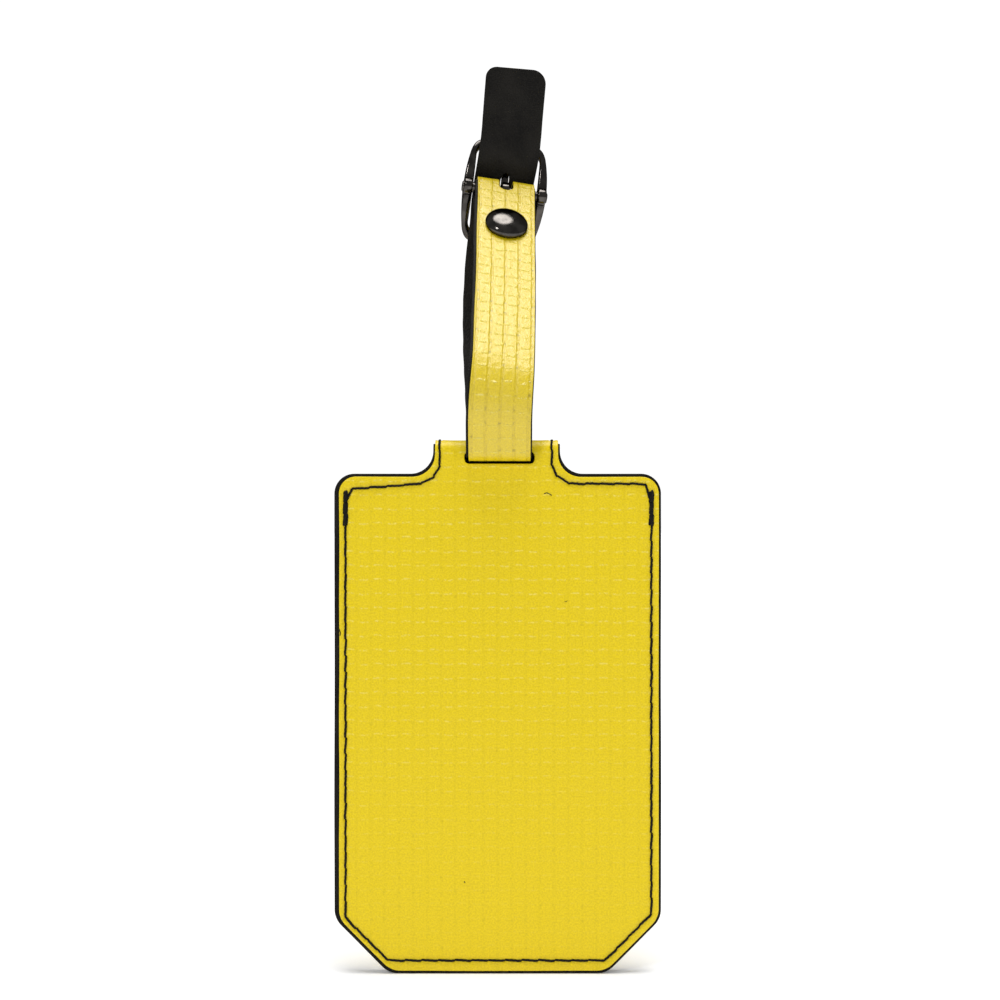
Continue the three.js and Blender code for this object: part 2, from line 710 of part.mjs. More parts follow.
function frameOutline() {
  const shape = new THREE.Shape();
  const low = FRAME_HALF_LENGTH;
  const foot = low - FRAME_CORNER_RISE;
  const flat = FRAME_END_HALF_WIDTH - FRAME_CORNER_RUN;
  const corner = FRAME_END_HALF_WIDTH + FRAME_CORNER_PULL;
  const shoulder = FRAME_END_HALF_WIDTH + FRAME_SHOULDER;
  const side = FRAME_HALF_WIDTH + FRAME_SIDE_PULL;
  shape.moveTo(-flat, -low);
  shape.lineTo(flat, -low);
  shape.quadraticCurveTo(corner, -low, shoulder, -foot);
  shape.bezierCurveTo(side, -foot / 3, side, foot / 3, shoulder, foot);
  shape.quadraticCurveTo(corner, low, flat, low);
  shape.lineTo(-flat, low);
  shape.quadraticCurveTo(-corner, low, -shoulder, foot);
  shape.bezierCurveTo(-side, foot / 3, -side, -foot / 3, -shoulder, -foot);
  shape.quadraticCurveTo(-corner, -low, -flat, -low);
  return shape;
}

function windowOutline() {
  const z = FRAME_HALF_LENGTH - END_BAR;
  const x = WINDOW_HALF_WIDTH;
  return roundedOutline([
    [-x, -z, WINDOW_CORNER],
    [x, -z, WINDOW_CORNER],
    [x, z, WINDOW_CORNER],
    [-x, z, WINDOW_CORNER],
  ]);
}

// The frame's side view: a strip of even thickness whose ends stand back from its middle.
function bowedStrip() {
  const shape = new THREE.Shape();
  const z = FRAME_HALF_LENGTH + 1;
  const ends = FRAME_BOW * (z / FRAME_HALF_LENGTH) ** 2;
  const half = FRAME_THICKNESS / 2;
  shape.moveTo(ends - half, -z);
  shape.quadraticCurveTo(-ends - half, 0, ends - half, z);
  shape.lineTo(ends + half, z);
  shape.quadraticCurveTo(-ends + half, 0, ends + half, -z);
  shape.closePath();
  return shape;
}

function buckleFrame() {
  const ring = frontPrism(frameOutline(), -BEYOND, BEYOND, 4).subtract(frontPrism(windowOutline()));
  let frame = ring.intersect(sidePrism(bowedStrip(), FRAME_HALF_WIDTH + BEYOND, 10));
  for (const side of [-1, 1]) {
    const middle = (side * (WINDOW_HALF_WIDTH + FRAME_HALF_WIDTH)) / 2;
    frame = frame.add(crossBar(BOSS_RADIUS, middle - BOSS_LENGTH / 2, middle + BOSS_LENGTH / 2));
  }
  return frame.subtract(crossBar(BAR_RADIUS + CLEARANCE, -BEYOND, BEYOND));
}

function centreBar() {
  return crossBar(BAR_RADIUS, -BAR_LENGTH / 2, BAR_LENGTH / 2);
}

function prong() {
  const half = PRONG_WIDTH / 2;
  const tongue = new THREE.BoxGeometry(PRONG_WIDTH, PRONG_THICKNESS, PRONG_LENGTH);
  tongue.translate(0, (BAR_RADIUS + CLEARANCE + PRONG_EYE) / 2, PRONG_LENGTH / 2);
  tongue.rotateX(-THREE.MathUtils.degToRad(PRONG_ANGLE));
  const eye = crossBar(PRONG_EYE, -half, half);
  return eye.add(toSolid(tongue)).subtract(crossBar(BAR_RADIUS + CLEARANCE, -BEYOND, BEYOND));
}

const buckle = new THREE.Group();
buckle.position.copy(barCentre);
buckle.quaternion.copy(buckleTurn);
buckle.add(
  piece("buckle_frame", buckleFrame(), gunmetal()),
  piece("centre_bar", centreBar(), gunmetal()),
  piece("prong", prong(), gunmetal()),
);

// The rivet, whose dome is on the strap's outer face. In its own frame Z points out of that face.
function lathed(profile, sides = 20) {
  const points = profile.map(([r, z]) => new THREE.Vector2(r, z));
  return toSolid(new THREE.LatheGeometry(points, sides).rotateX(Math.PI / 2));
}

const gripDepth = 2 * TARP_OUTER + closedPitch; // from the strap's outer face to its far one
const socketRadius = RIVET_POST_RADIUS + CLEARANCE;

function domeProfile(radius, dome, foot) {
  const steps = 5;
  const arc = [];
  for (let i = 0; i <= steps; i++) {
    const angle = ((Math.PI / 2) * i) / steps;
    arc.push([radius * Math.cos(angle), foot + dome * Math.sin(angle)]);
  }
  arc[steps][0] = 0;
  return arc;
}

function rivetCap() {
  const foot = TARP_OUTER + RIVET_SEAT;
  return lathed([
    [0, foot + RIVET_SOCKET],
    [socketRadius, foot + RIVET_SOCKET],
    [socketRadius, foot],
    [RIVET_CAP_RADIUS, foot],
    ...domeProfile(RIVET_CAP_RADIUS, RIVET_DOME, foot + RIVET_RIM),
  ]);
}

function rivetPost() {
  const far = -gripDepth + TARP_OUTER - RIVET_SEAT;
  const top = TARP_OUTER + RIVET_SEAT + RIVET_SOCKET - CLEARANCE;
  const base = domeProfile(RIVET_BACK_RADIUS, RIVET_BACK_DOME, RIVET_RIM).map(([r, z]) => [r, far - z]);
  return lathed([
    ...base.reverse(),
    [RIVET_BACK_RADIUS, far],
    [RIVET_POST_RADIUS, far],
    [RIVET_POST_RADIUS, top],
    [0, top],
  ]);
}

const rivet = new THREE.Group();
rivet.position.copy(onStrand(RIVET_FROM_BAR, 0));
rivet.quaternion.copy(strandTurn);
rivet.add(piece("rivet_cap", rivetCap(), gunmetal()), piece("rivet_post", rivetPost(), gunmetal()));

// The whole tag, with its origin where a bag's handle goes.
const luggageTag = new THREE.Group();
luggageTag.name = "luggage_tag";
luggageTag.position.copy(HANDLE).negate();
luggageTag.add(tag, strap, buckle, rivet);

export default luggageTag;
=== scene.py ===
import math
import random

import bmesh
import bpy
import numpy as np
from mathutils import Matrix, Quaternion, Vector
from mathutils.geometry import delaunay_2d_cdt
from mathutils.kdtree import KDTree


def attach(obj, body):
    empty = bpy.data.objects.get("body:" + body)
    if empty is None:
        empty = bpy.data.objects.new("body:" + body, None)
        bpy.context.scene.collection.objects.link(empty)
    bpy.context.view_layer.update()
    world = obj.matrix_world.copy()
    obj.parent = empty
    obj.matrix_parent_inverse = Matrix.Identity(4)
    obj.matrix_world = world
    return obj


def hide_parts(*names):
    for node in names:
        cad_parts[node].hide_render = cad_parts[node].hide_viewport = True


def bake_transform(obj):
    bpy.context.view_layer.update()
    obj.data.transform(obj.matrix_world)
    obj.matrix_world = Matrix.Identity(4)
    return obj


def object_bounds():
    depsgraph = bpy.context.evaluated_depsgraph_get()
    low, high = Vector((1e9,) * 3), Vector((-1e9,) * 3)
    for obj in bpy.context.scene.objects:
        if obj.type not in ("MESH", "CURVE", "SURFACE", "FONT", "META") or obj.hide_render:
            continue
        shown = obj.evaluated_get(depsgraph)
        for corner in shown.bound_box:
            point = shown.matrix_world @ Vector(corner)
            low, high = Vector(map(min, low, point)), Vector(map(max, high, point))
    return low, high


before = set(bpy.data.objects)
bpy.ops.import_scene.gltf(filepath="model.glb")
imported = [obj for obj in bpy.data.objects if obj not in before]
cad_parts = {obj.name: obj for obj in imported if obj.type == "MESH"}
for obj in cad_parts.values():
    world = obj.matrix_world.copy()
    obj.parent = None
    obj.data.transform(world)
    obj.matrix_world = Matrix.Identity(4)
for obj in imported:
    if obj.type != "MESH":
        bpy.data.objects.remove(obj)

cad_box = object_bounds()
MM = 0.001

# Dimensions shared with the CAD model.

TARP = 0.7
LINING = 0.45
PLY_GAP = 0.05
CLEARANCE = 0.3
CLEAR_SHEET = 0.25
CARD_THICKNESS = 0.3

BODY_WIDTH = 72
SHOULDER_Z = 110.1
SHOULDER_RADIUS = 4.4
CHAMFER = 12
CHAMFER_RADIUS = 5
CHAMFER_INSET = 1 - math.sqrt(0.5)  # keeps a ply's margin even round the cut corners
NECK_WIDTH = 27.9
NECK_X = -0.25
NECK_FILLET = 5
FOLD_Z = 115.3
FOLD_RADIUS = 2.2
CREASE_Z = 111.3
CREASE_GAP = 0.4
LINING_EDGE = {"left": 0, "right": 0, "end": 0, "neck": 0}
TARP_EDGE = {"left": 1.1, "right": 0.55, "end": 0.7, "neck": 0.4}
COVER_LINING_EDGE = {"left": 0.3, "right": 0.3, "end": 0.2, "neck": 0.2}
COVER_EDGE = {"left": 0.9, "right": 0.9, "end": 0.9, "neck": 0.6}

SLOT_WIDTH = 15.4
SLOT_LOW = 112.3
SLOT_HIGH = 114.9

POCKET_TOP = 106.9
POCKET_EDGE = {"left": 1.7, "right": 1.7, "end": 1.7, "neck": 1.7}
CARD_ROOM_EDGE = 4.4
CARD_ROOM = 0.65
CARD_WIDTH = 55
CARD_HEIGHT = 85
CARD_Z = 14.5
CARD_RADIUS = 3

SEAM = {"left": -33.5, "right": 33.8, "low": 3, "leg_left": 9.4, "leg_right": 10.2}
SEAM_TOP = 98.9
BARTACK_TOP = 106.4
SHOULDER_SEAM_Z = 107.9
SHOULDER_SEAM_DROP = {"left": 1.2, "right": 0.1}
NECK_SEAM = {"left": -12.8, "right": 11.9}

STRAP_X = 0.4
STRAP_HALF = 6.8
STRAP_LINING_LEFT = 7.35
STRAP_LINING_RIGHT = 7.1
SLOT_RUN = 2.6
SLOT_BEND = 2.3
FRONT_RISE = 66
BACK_RISE = 36
BULGE_RUN = 6.5
CREASE_RADIUS = 14
CREASE_TURN = 62
UPPER_CURVE = 260
UPPER_TURN = 7
UPPER_RUN = 28.3
WRAP_OVER = 16
CLOSING_RADIUS = 5
RIVET_RUN = 12.5
STRAP_ROLL = 7.5
STRAP_YAW = 7
EASE_PULL = 0.36
TAIL_LIFT = 12
TAIL_BEND = 30
TAIL_RUN = 9
TAIL_ROLL = 3.5
TIP_RADIUS = 2.9
HOLE_RADIUS = 1.75
HOLE_STRETCH = 1.4
PRONG_HOLE_Z = 3
HOLE_PITCH = 12
SPARE_HOLES = 3

BAR_RADIUS = 1.25
BAR_LENGTH = 20.6
BUCKLE_LEAN = 1
FRAME_HALF_LENGTH = 12.3
FRAME_HALF_WIDTH = 10.1
FRAME_END_HALF_WIDTH = 8
FRAME_THICKNESS = 1.8
FRAME_CORNER_RISE = 3
FRAME_CORNER_RUN = 2
FRAME_SHOULDER = 1
FRAME_CORNER_PULL = 0.2
FRAME_SIDE_PULL = 0.3
FRAME_BOW = 3
WINDOW_HALF_WIDTH = 7.7
WINDOW_CORNER = 2
END_BAR = 2.3
BOSS_RADIUS = 2.2
BOSS_LENGTH = 2.1
TAIL_ROOM = 1.25
PRONG_WIDTH = 1.8
PRONG_THICKNESS = 0.9
PRONG_EYE = 2.35
PRONG_LENGTH = 11.9
PRONG_ANGLE = 15.2
NOTCH_WIDTH = 3.4
NOTCH_RUN = 2.6
RIVET_FROM_BAR = 16.4
RIVET_CAP_RADIUS = 5
RIVET_DOME = 2.1
RIVET_RIM = 0.5
RIVET_BACK_RADIUS = 4.4
RIVET_BACK_DOME = 1.1
RIVET_POST_RADIUS = 1.4
RIVET_SEAT = 0.1

HANDLE = np.array([STRAP_X, 14, 148.9])
LINING_FACE = FOLD_RADIUS - TARP - PLY_GAP
INNER_FACE = LINING_FACE - LINING
TARP_INNER = PLY_GAP / 2
TARP_OUTER = TARP_INNER + TARP
LINING_INNER = -PLY_GAP / 2 - LINING
WRAP_RADIUS = BAR_RADIUS + CLEARANCE - LINING_INNER
SLOT_MIDDLE = Vector((STRAP_X, 0, (SLOT_LOW + SLOT_HIGH) / 2))

# Dimensions of the detail that only the looks have.

WEAVE_PITCH = 3.1
THREAD_RADIUS = 0.26
STITCH = 3.6
TACK_STITCH = 2.6
EDGE_ROUND = 0.14
EDGE_ANGLES = [30, 60, 90]
OUTLINE_STEP = 0.8
SECOND_RING = 0.3  # from a sheet's rounded edge to the next ring of its mesh
RIM_CLEAR = 0.5  # how far the mesh's fine points stay from the rounded edge
FIELD_GAP = 0.6  # how close the mesh's points may be, as a share of its pitch
PANEL_MESH = 1.5
LINING_MESH = 2.0
WINDOW_MESH = 1.6
CARD_MESH = 3.0
STRAP_MESH = 0.8

SEAM_ROWS = [0, -0.4, 0.4, -0.8, 0.8, -1.3, 1.3]
SEAM_STEP = 0.42
SEAM_GAP = 0.3
SEAM_REACH = 3  # how far from a seam its needle holes are looked for
GROOVE_DEPTH = 0.11  # the thread pulls the sheet in along a seam
GROOVE_HALF = 0.6
DIMPLE_DEPTH = 0.2  # and further in at each needle hole
DIMPLE_RADIUS = 0.42
PUCKER_HEIGHT = 0.09  # and the sheet stands up in a ring round each hole
PUCKER_RADIUS = 0.95
PUCKER_WIDTH = 0.38
SHEET_WAVE = 0.05
SHEET_WAVE_LENGTH = 14
THREAD_SIDES = 9
THREAD_PLIES = 3
THREAD_TWIST = 6.5
TACK_THREAD_RADIUS = 0.25
TACK_ROWS = [(-0.3, 0.0), (0.02, 0.04), (0.3, 0.0), (-0.16, 0.2), (0.17, 0.22), (0.0, 0.34)]
SHOULDER_SEAM_FOOT = 2.6  # below the bartack's top
SLOT_ROUND = 0.9
POCKET_CORNER = 1.5
WINDOW_FOLDS = (-31.3, -30.8, -30.3, 30.3, 30.8, 31.3)  # mesh columns where the clear window rises
WINDOW_POINT_GAP = 1.2
WINDOW_RISE_RUN = 1.7  # over which the clear window rises from its sewn rim

FRAME_SECTION = 0.5  # 1 is a round section, and less is nearer a rectangle
PRONG_SECTION = 0.6
PRONG_TIP = 1.0
PRONG_TAPER = 0.22

FLOOR_HALF = 6.0  # metres
CAMERA_DISTANCE = 450  # from the tag's front
VIEW_WIDTH = 220  # at the tag's front
CAMERA_X = 0.5
CAMERA_Z = 104.3
HINGE_RUN = 2.2  # how much of the cover bends at its crease
HINGE_ROWS = 9  # rows of mesh points there, across the neck
HINGE_ROW_GAP = 0.3
HINGE_POINT_GAP = 1.2
HINGE_HALF = 13.5
PRONG_HOLE_GAP = 0.15  # how closely the prong's own hole fits it
REAR_SLOT_LOW = 112.9
REAR_SLOT_GAP = 0.15  # between the strap's tarpaulin and the slot's ends at the back


# Materials. Colours are linear.


class Nodes:
    """A material's node tree, with short calls for the nodes that these materials use."""

    def __init__(self, name):
        self.material = bpy.data.materials.new(name)
        self.material.use_nodes = True
        self.tree = self.material.node_tree
        self.shader = self.tree.nodes["Principled BSDF"]

    def add(self, kind, **inputs):
        node = self.tree.nodes.new(kind)
        for name, value in inputs.items():
            self.connect(value, node.inputs[name.replace("_", " ")])
        return node

    def connect(self, value, socket):
        if isinstance(value, bpy.types.NodeSocket):
            self.tree.links.new(value, socket)
        else:
            socket.default_value = value

    def set(self, **inputs):
        for name, value in inputs.items():
            self.connect(value, self.shader.inputs[name.replace("_", " ")])

    def math(self, operation, *values):
        node = self.tree.nodes.new("ShaderNodeMath")
        node.operation = operation
        for value, socket in zip(values, node.inputs):
            self.connect(value, socket)
        return node.outputs[0]

    def plus(self, first, second):
        return self.math("ADD", first, second)

    def minus(self, first, second):
        return self.math("SUBTRACT", first, second)

    def times(self, first, second):
        return self.math("MULTIPLY", first, second)

    def ramp(self, value, low, high, to_low=0.0, to_high=1.0):
        """A smooth step from to_low, where value is low, to to_high."""
        node = self.tree.nodes.new("ShaderNodeMapRange")
        node.interpolation_type = "SMOOTHSTEP"
        for socket, number in zip(node.inputs, (value, low, high, to_low, to_high)):
            self.connect(number, socket)
        return node.outputs[0]

    def mix(self, share, first, second):
        node = self.tree.nodes.new("ShaderNodeMix")
        node.data_type = "RGBA"
        self.connect(share, node.inputs["Factor"])
        self.connect(first, node.inputs["A"])
        self.connect(second, node.inputs["B"])
        return node.outputs["Result"]

    def noise(self, place, scale, detail=3.0, roughness=0.5):
        node = self.add("ShaderNodeTexNoise", Vector=place, Scale=scale, Detail=detail, Roughness=roughness)
        return node.outputs["Fac"]

    def bump(self, height, distance, strength=1.0, normal=None):
        node = self.add("ShaderNodeBump", Height=height, Distance=distance, Strength=strength)
        if normal is not None:
            self.connect(normal, node.inputs["Normal"])
        return node.outputs["Normal"]

    def flat_place(self):
        """Millimetres over the sheet as it was cut, from its UV map."""
        return self.add("ShaderNodeTexCoord").outputs["UV"]

    def solid_place(self):
        """Millimetres in the object."""
        node = self.add("ShaderNodeVectorMath", Vector=self.add("ShaderNodeTexCoord").outputs["Object"])
        node.operation = "SCALE"
        node.inputs["Scale"].default_value = 1 / MM
        return node.outputs[0]

    def split(self, place):
        node = self.add("ShaderNodeSeparateXYZ", Vector=place)
        return node.outputs["X"], node.outputs["Y"]

    def from_line(self, position, pitch, shift=0.0):
        """The distance to the nearest of a set of evenly spaced lines."""
        turns = self.plus(self.math("DIVIDE", position, pitch), shift)
        middle = self.minus(self.math("FRACT", self.plus(turns, 0.5)), 0.5)
        return self.times(self.math("ABSOLUTE", middle), pitch)


def tarpaulin(name, groove_depth, dash_height, fading, relief, shine, tone):
    """Yellow coated cloth. Its threads' grid shows through as grooves and short raised dashes, which fade
    out towards the tag's bottom edge if fading is 1. relief is the weave's height in metres, shine is the
    specular level, and a tone below 1 darkens the colour."""
    n = Nodes(name)
    place = n.flat_place()
    wander = n.noise(place, 0.35, 2.0)
    across, along = n.split(place)
    drift = n.times(n.minus(wander, 0.5), 0.16)
    groove_gap = n.from_line(across, WEAVE_PITCH, drift)
    groove = n.ramp(groove_gap, 0.1, 0.5, 1.0, 0.0)
    groove_break = n.ramp(n.noise(place, 0.9, 2.0), 0.34, 0.52, 0.4, 1.0)
    groove = n.times(n.times(groove, groove_break), groove_depth)
    phase = n.times(across, math.pi / WEAVE_PITCH)
    swing = n.times(n.math("SINE", phase), 0.05)
    dash_line = n.from_line(along, WEAVE_PITCH, n.plus(swing, drift))
    dash = n.ramp(dash_line, 0.04, 0.3, 1.0, 0.0)
    dash_part = n.ramp(groove_gap, 0.35, 0.85)
    dash_break = n.ramp(n.noise(place, 1.5, 3.0), 0.4, 0.62, 0.1, 1.0)
    dash = n.times(n.times(dash, dash_part), dash_break)
    fade_edge = n.plus(along, n.times(wander, 30.0))
    high = n.ramp(fade_edge, 25.0, 95.0, 1.0 - 0.85 * fading, 1.0)
    dash = n.times(n.times(dash, high), dash_height)
    under = n.ramp(n.from_line(along, WEAVE_PITCH, n.plus(swing, 0.17)), 0.0, 0.75, 1.0, 0.0)
    # Painted shade: the dips where each row's groove crosses a thread groove, broken up by noise.
    painted_crossing_shade = n.times(n.times(under, groove), n.ramp(n.noise(place, 1.1), 0.45, 0.6))
    grain = n.noise(place, 2.6, 4.0, 0.62)
    fine = n.noise(place, 9.0, 2.0)
    lumps = n.noise(place, 0.75, 2.0)
    height = n.times(dash, 0.75)
    height = n.minus(height, n.times(groove, 0.85))
    height = n.minus(height, n.times(under, 0.06))
    height = n.plus(height, n.times(grain, 0.55))
    height = n.plus(height, n.times(fine, 0.14))
    height = n.plus(height, n.times(lumps, 0.9))
    deep = (0.71 * tone, 0.52 * tone, 0.0, 1)
    bright = (0.85 * tone, 0.65 * tone, 0.001, 1)
    colour = n.mix(n.ramp(grain, 0.3, 0.7), deep, bright)
    # The raised dashes are painted paler: a painted highlight where light from above catches their tops.
    colour = n.mix(n.times(dash, 0.45), colour, (0.96, 0.87, 0.24, 1))
    # The grooves are painted darker: painted shade in the recesses between the threads.
    colour = n.mix(n.times(groove, 0.3), colour, (0.5, 0.35, 0.0, 1))
    # Those dips are painted near black as painted shade.
    colour = n.mix(n.times(painted_crossing_shade, 0.6), colour, (0.1, 0.07, 0.0, 1))
    roughness = n.ramp(fine, 0.2, 0.8, 0.24, 0.46)
    n.set(Base_Color=colour, Roughness=roughness, Normal=n.bump(height, relief), IOR=1.45)
    n.set(Specular_IOR_Level=shine)
    return n.material


def leatherette():
    """Black lining with a fine pebble grain whose tops are painted slightly pale as a painted sheen, and
    slightly paler worn patches.
    """
    n = Nodes("leatherette")
    place = n.flat_place()
    cells = n.add("ShaderNodeTexVoronoi", Vector=place, Scale=2.4)
    cells.feature = "F1"
    pebble = n.ramp(cells.outputs["Distance"], 0.1, 0.75, 1.0, 0.0)
    weave = n.noise(place, 5.0, 3.0)
    height = n.plus(pebble, n.times(weave, 0.5))
    worn = n.ramp(n.noise(place, 0.12, 2.0), 0.35, 0.75)
    # Painted sheen: the pebbles' tops are painted paler than the hollows between them.
    colour = n.mix(pebble, (0.003, 0.0026, 0.002, 1), (0.008, 0.007, 0.0055, 1))
    colour = n.mix(worn, colour, (0.011, 0.0098, 0.0078, 1))
    roughness = n.ramp(weave, 0.3, 0.7, 0.5, 0.72)
    n.set(Base_Color=colour, Roughness=roughness, Normal=n.bump(height, 0.00006), IOR=1.45)
    n.set(Specular_IOR_Level=0.16)
    return n.material


def sewing_thread():
    """Black polyester thread: its plies are in the mesh, and its fibres are here."""
    n = Nodes("sewing_thread")
    place = n.solid_place()
    fibres = n.add("ShaderNodeTexWave", Vector=place, Scale=3.2, Distortion=1.6, Detail=2.0)
    grain = n.noise(place, 6.0, 3.0)
    height = n.plus(n.times(fibres.outputs["Fac"], 0.6), grain)
    colour = n.mix(grain, (0.002, 0.002, 0.0016, 1), (0.009, 0.0085, 0.007, 1))
    roughness = n.ramp(grain, 0.3, 0.7, 0.42, 0.68)
    n.set(Base_Color=colour, Roughness=roughness, Normal=n.bump(height, 0.00004))
    n.set(Specular_IOR_Level=0.15)
    return n.material


def gunmetal():
    """Polished black nickel, with faint hairlines, soft tarnish and slightly brighter worn places."""
    n = Nodes("gunmetal")
    place = n.solid_place()
    stretch = n.add("ShaderNodeMapping", Vector=place)
    stretch.inputs["Scale"].default_value = (0.5, 7.0, 7.0)
    hairs = n.noise(stretch.outputs["Vector"], 3.0, 3.0)
    cloud = n.noise(place, 0.5, 3.0)
    specks = n.noise(place, 4.0, 3.0)
    colour = n.mix(n.ramp(cloud, 0.3, 0.7), (0.05, 0.046, 0.043, 1), (0.09, 0.083, 0.076, 1))
    colour = n.mix(n.ramp(specks, 0.66, 0.8), colour, (0.15, 0.14, 0.125, 1))
    roughness = n.plus(n.ramp(hairs, 0.3, 0.7, 0.05, 0.13), n.ramp(cloud, 0.4, 0.8, 0.0, 0.06))
    height = n.plus(hairs, n.times(specks, 0.6))
    n.set(Base_Color=colour, Metallic=1.0, Roughness=roughness, Normal=n.bump(height, 0.000006))
    n.set(Specular_Tint=(0.3, 0.29, 0.28, 1))
    return n.material


def clear_sheet():
    """Clear soft plastic with faint scuffs."""
    n = Nodes("clear_sheet")
    place = n.flat_place()
    scuffs = n.ramp(n.noise(place, 0.5, 5.0, 0.7), 0.45, 0.75)
    ripple = n.noise(place, 0.08, 2.0)
    colour = n.mix(scuffs, (0.78, 0.82, 0.84, 1), (0.93, 0.94, 0.95, 1))
    roughness = n.plus(n.times(scuffs, 0.2), 0.05)
    n.set(Base_Color=colour, Roughness=roughness, Normal=n.bump(ripple, 0.0006), IOR=1.54)
    n.set(Alpha=n.plus(n.times(scuffs, 0.12), 0.14))
    return n.material


def card_paper():
    """Off-white card with ruled lines for an address."""
    n = Nodes("card_paper")
    place = n.flat_place()
    across, along = n.split(place)
    fibre = n.noise(place, 3.0, 4.0, 0.6)
    blotch = n.noise(place, 0.07, 2.0)
    colour = n.mix(blotch, (0.82, 0.80, 0.74, 1), (0.89, 0.875, 0.83, 1))
    rule = n.ramp(n.from_line(along, 9.0, 0.3), 0.09, 0.15, 1.0, 0.0)
    ruled = n.ramp(n.math("ABSOLUTE", across), 21.8, 22.0, 1.0, 0.0)
    middle = n.math("ABSOLUTE", n.minus(along, CARD_Z + CARD_HEIGHT / 2 - 6))
    ruled = n.times(ruled, n.ramp(middle, 25.0, 25.2, 1.0, 0.0))
    colour = n.mix(n.times(rule, ruled), colour, (0.2, 0.24, 0.3, 1))
    n.set(Base_Color=colour, Roughness=n.ramp(fibre, 0.3, 0.7, 0.62, 0.85), Normal=n.bump(fibre, 0.00003))
    return n.material


MATERIALS = {
    "tarpaulin": tarpaulin(
        "tarpaulin", groove_depth=0.18, dash_height=0.85, fading=1.0, relief=0.00011, shine=0.4, tone=0.97
    ),
    "strap_tarpaulin": tarpaulin(
        "strap_tarpaulin", groove_depth=0.8, dash_height=0.9, fading=0.0, relief=0.00017, shine=1.0, tone=0.86
    ),
    "lining": leatherette(),
    "thread": sewing_thread(),
    "gunmetal": gunmetal(),
    "clear_sheet": clear_sheet(),
    "card": card_paper(),
}


# Meshes.


def in_frame(points):
    """Millimetres in the tag's frame to metres in the row frame."""
    return (np.asarray(points, float) - HANDLE) * MM


def make_piece(name, slot, points, faces, uv=None, nodes=(), material=None):
    mesh = bpy.data.meshes.new(name)
    mesh.from_pydata(in_frame(points).tolist(), [], [list(map(int, face)) for face in faces])
    if uv is not None:
        layer = mesh.uv_layers.new(name="flat")
        corners = np.zeros(len(mesh.loops), int)
        mesh.loops.foreach_get("vertex_index", corners)
        layer.data.foreach_set("uv", np.asarray(uv, np.float32)[corners].ravel())
    work = bmesh.new()
    work.from_mesh(mesh)
    bmesh.ops.recalc_face_normals(work, faces=work.faces)
    work.to_mesh(mesh)
    work.free()
    mesh.shade_smooth()
    mesh.materials.append(MATERIALS[material or slot])
    piece = bpy.data.objects.new(name, mesh)
    bpy.context.scene.collection.objects.link(piece)
    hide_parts(*nodes)
    return piece


def joined(parts):
    """One list of points and faces from several."""
    points = []
    faces = []
    for part_points, part_faces in parts:
        start = sum(len(p) for p in points)
        points.append(np.asarray(part_points, float))
        faces += [[start + i for i in face] for face in part_faces]
    return np.vstack(points), faces


def grid_faces(rows, columns, closed=False):
    """The quads of a grid of points in rows, whose columns close on themselves if closed."""
    last = columns if closed else columns - 1
    faces = []
    for row in range(rows - 1):
        for column in range(last):
            a = row * columns + column
            b = row * columns + (column + 1) % columns
            faces.append([a, b, b + columns, a + columns])
    return faces


def tube(centres, normals, radii, sides=12, plies=0, twist=0.0):
    """A round tube along centres, closed at both ends. Its plies twist round it as a thread's do."""
    centres = np.asarray(centres, float)
    normals = np.asarray(normals, float)
    ahead = np.gradient(centres, axis=0)
    ahead /= np.linalg.norm(ahead, axis=1)[:, None]
    side = np.cross(ahead, normals)
    side /= np.linalg.norm(side, axis=1)[:, None]
    up = np.cross(side, ahead)
    travelled = np.concatenate([[0], np.cumsum(np.linalg.norm(np.diff(centres, axis=0), axis=1))])
    angle = np.linspace(0, 2 * np.pi, sides, endpoint=False)
    lobes = 1 + (0.11 * np.cos(plies * angle[None] - twist * travelled[:, None]) if plies else 0)
    radius = np.broadcast_to(np.asarray(radii, float), len(centres))[:, None] * lobes * np.ones((1, sides))
    ring = side[:, None] * np.cos(angle)[None, :, None] + up[:, None] * np.sin(angle)[None, :, None]
    points = (centres[:, None] + ring * radius[:, :, None]).reshape(-1, 3)
    faces = grid_faces(len(centres), sides, closed=True)
    last = (len(centres) - 1) * sides
    faces.append(list(range(sides))[::-1])
    faces.append([last + i for i in range(sides)])
    return points, faces


def lathe(profile, steps=48):
    """A profile of (radius, height) turned about Z. It starts and ends on the axis, or is a closed ring."""
    ring = profile[0][0] > 0
    turned = [(r, z) for r, z in profile if ring or r > 1e-9]
    angles = np.linspace(0, 2 * np.pi, steps, endpoint=False)
    points = [[r * math.cos(a), r * math.sin(a), z] for r, z in turned for a in angles]
    faces = grid_faces(len(turned), steps, closed=True)
    last = (len(turned) - 1) * steps
    if ring:
        faces += [[last + i, last + (i + 1) % steps, (i + 1) % steps, i] for i in range(steps)]
        return np.array(points), faces
    for z, start in ((profile[0][1], 0), (profile[-1][1], last)):
        tip = len(points)
        points.append([0, 0, z])
        faces += [[tip, start + i, start + (i + 1) % steps] for i in range(steps)]
    return np.array(points), faces


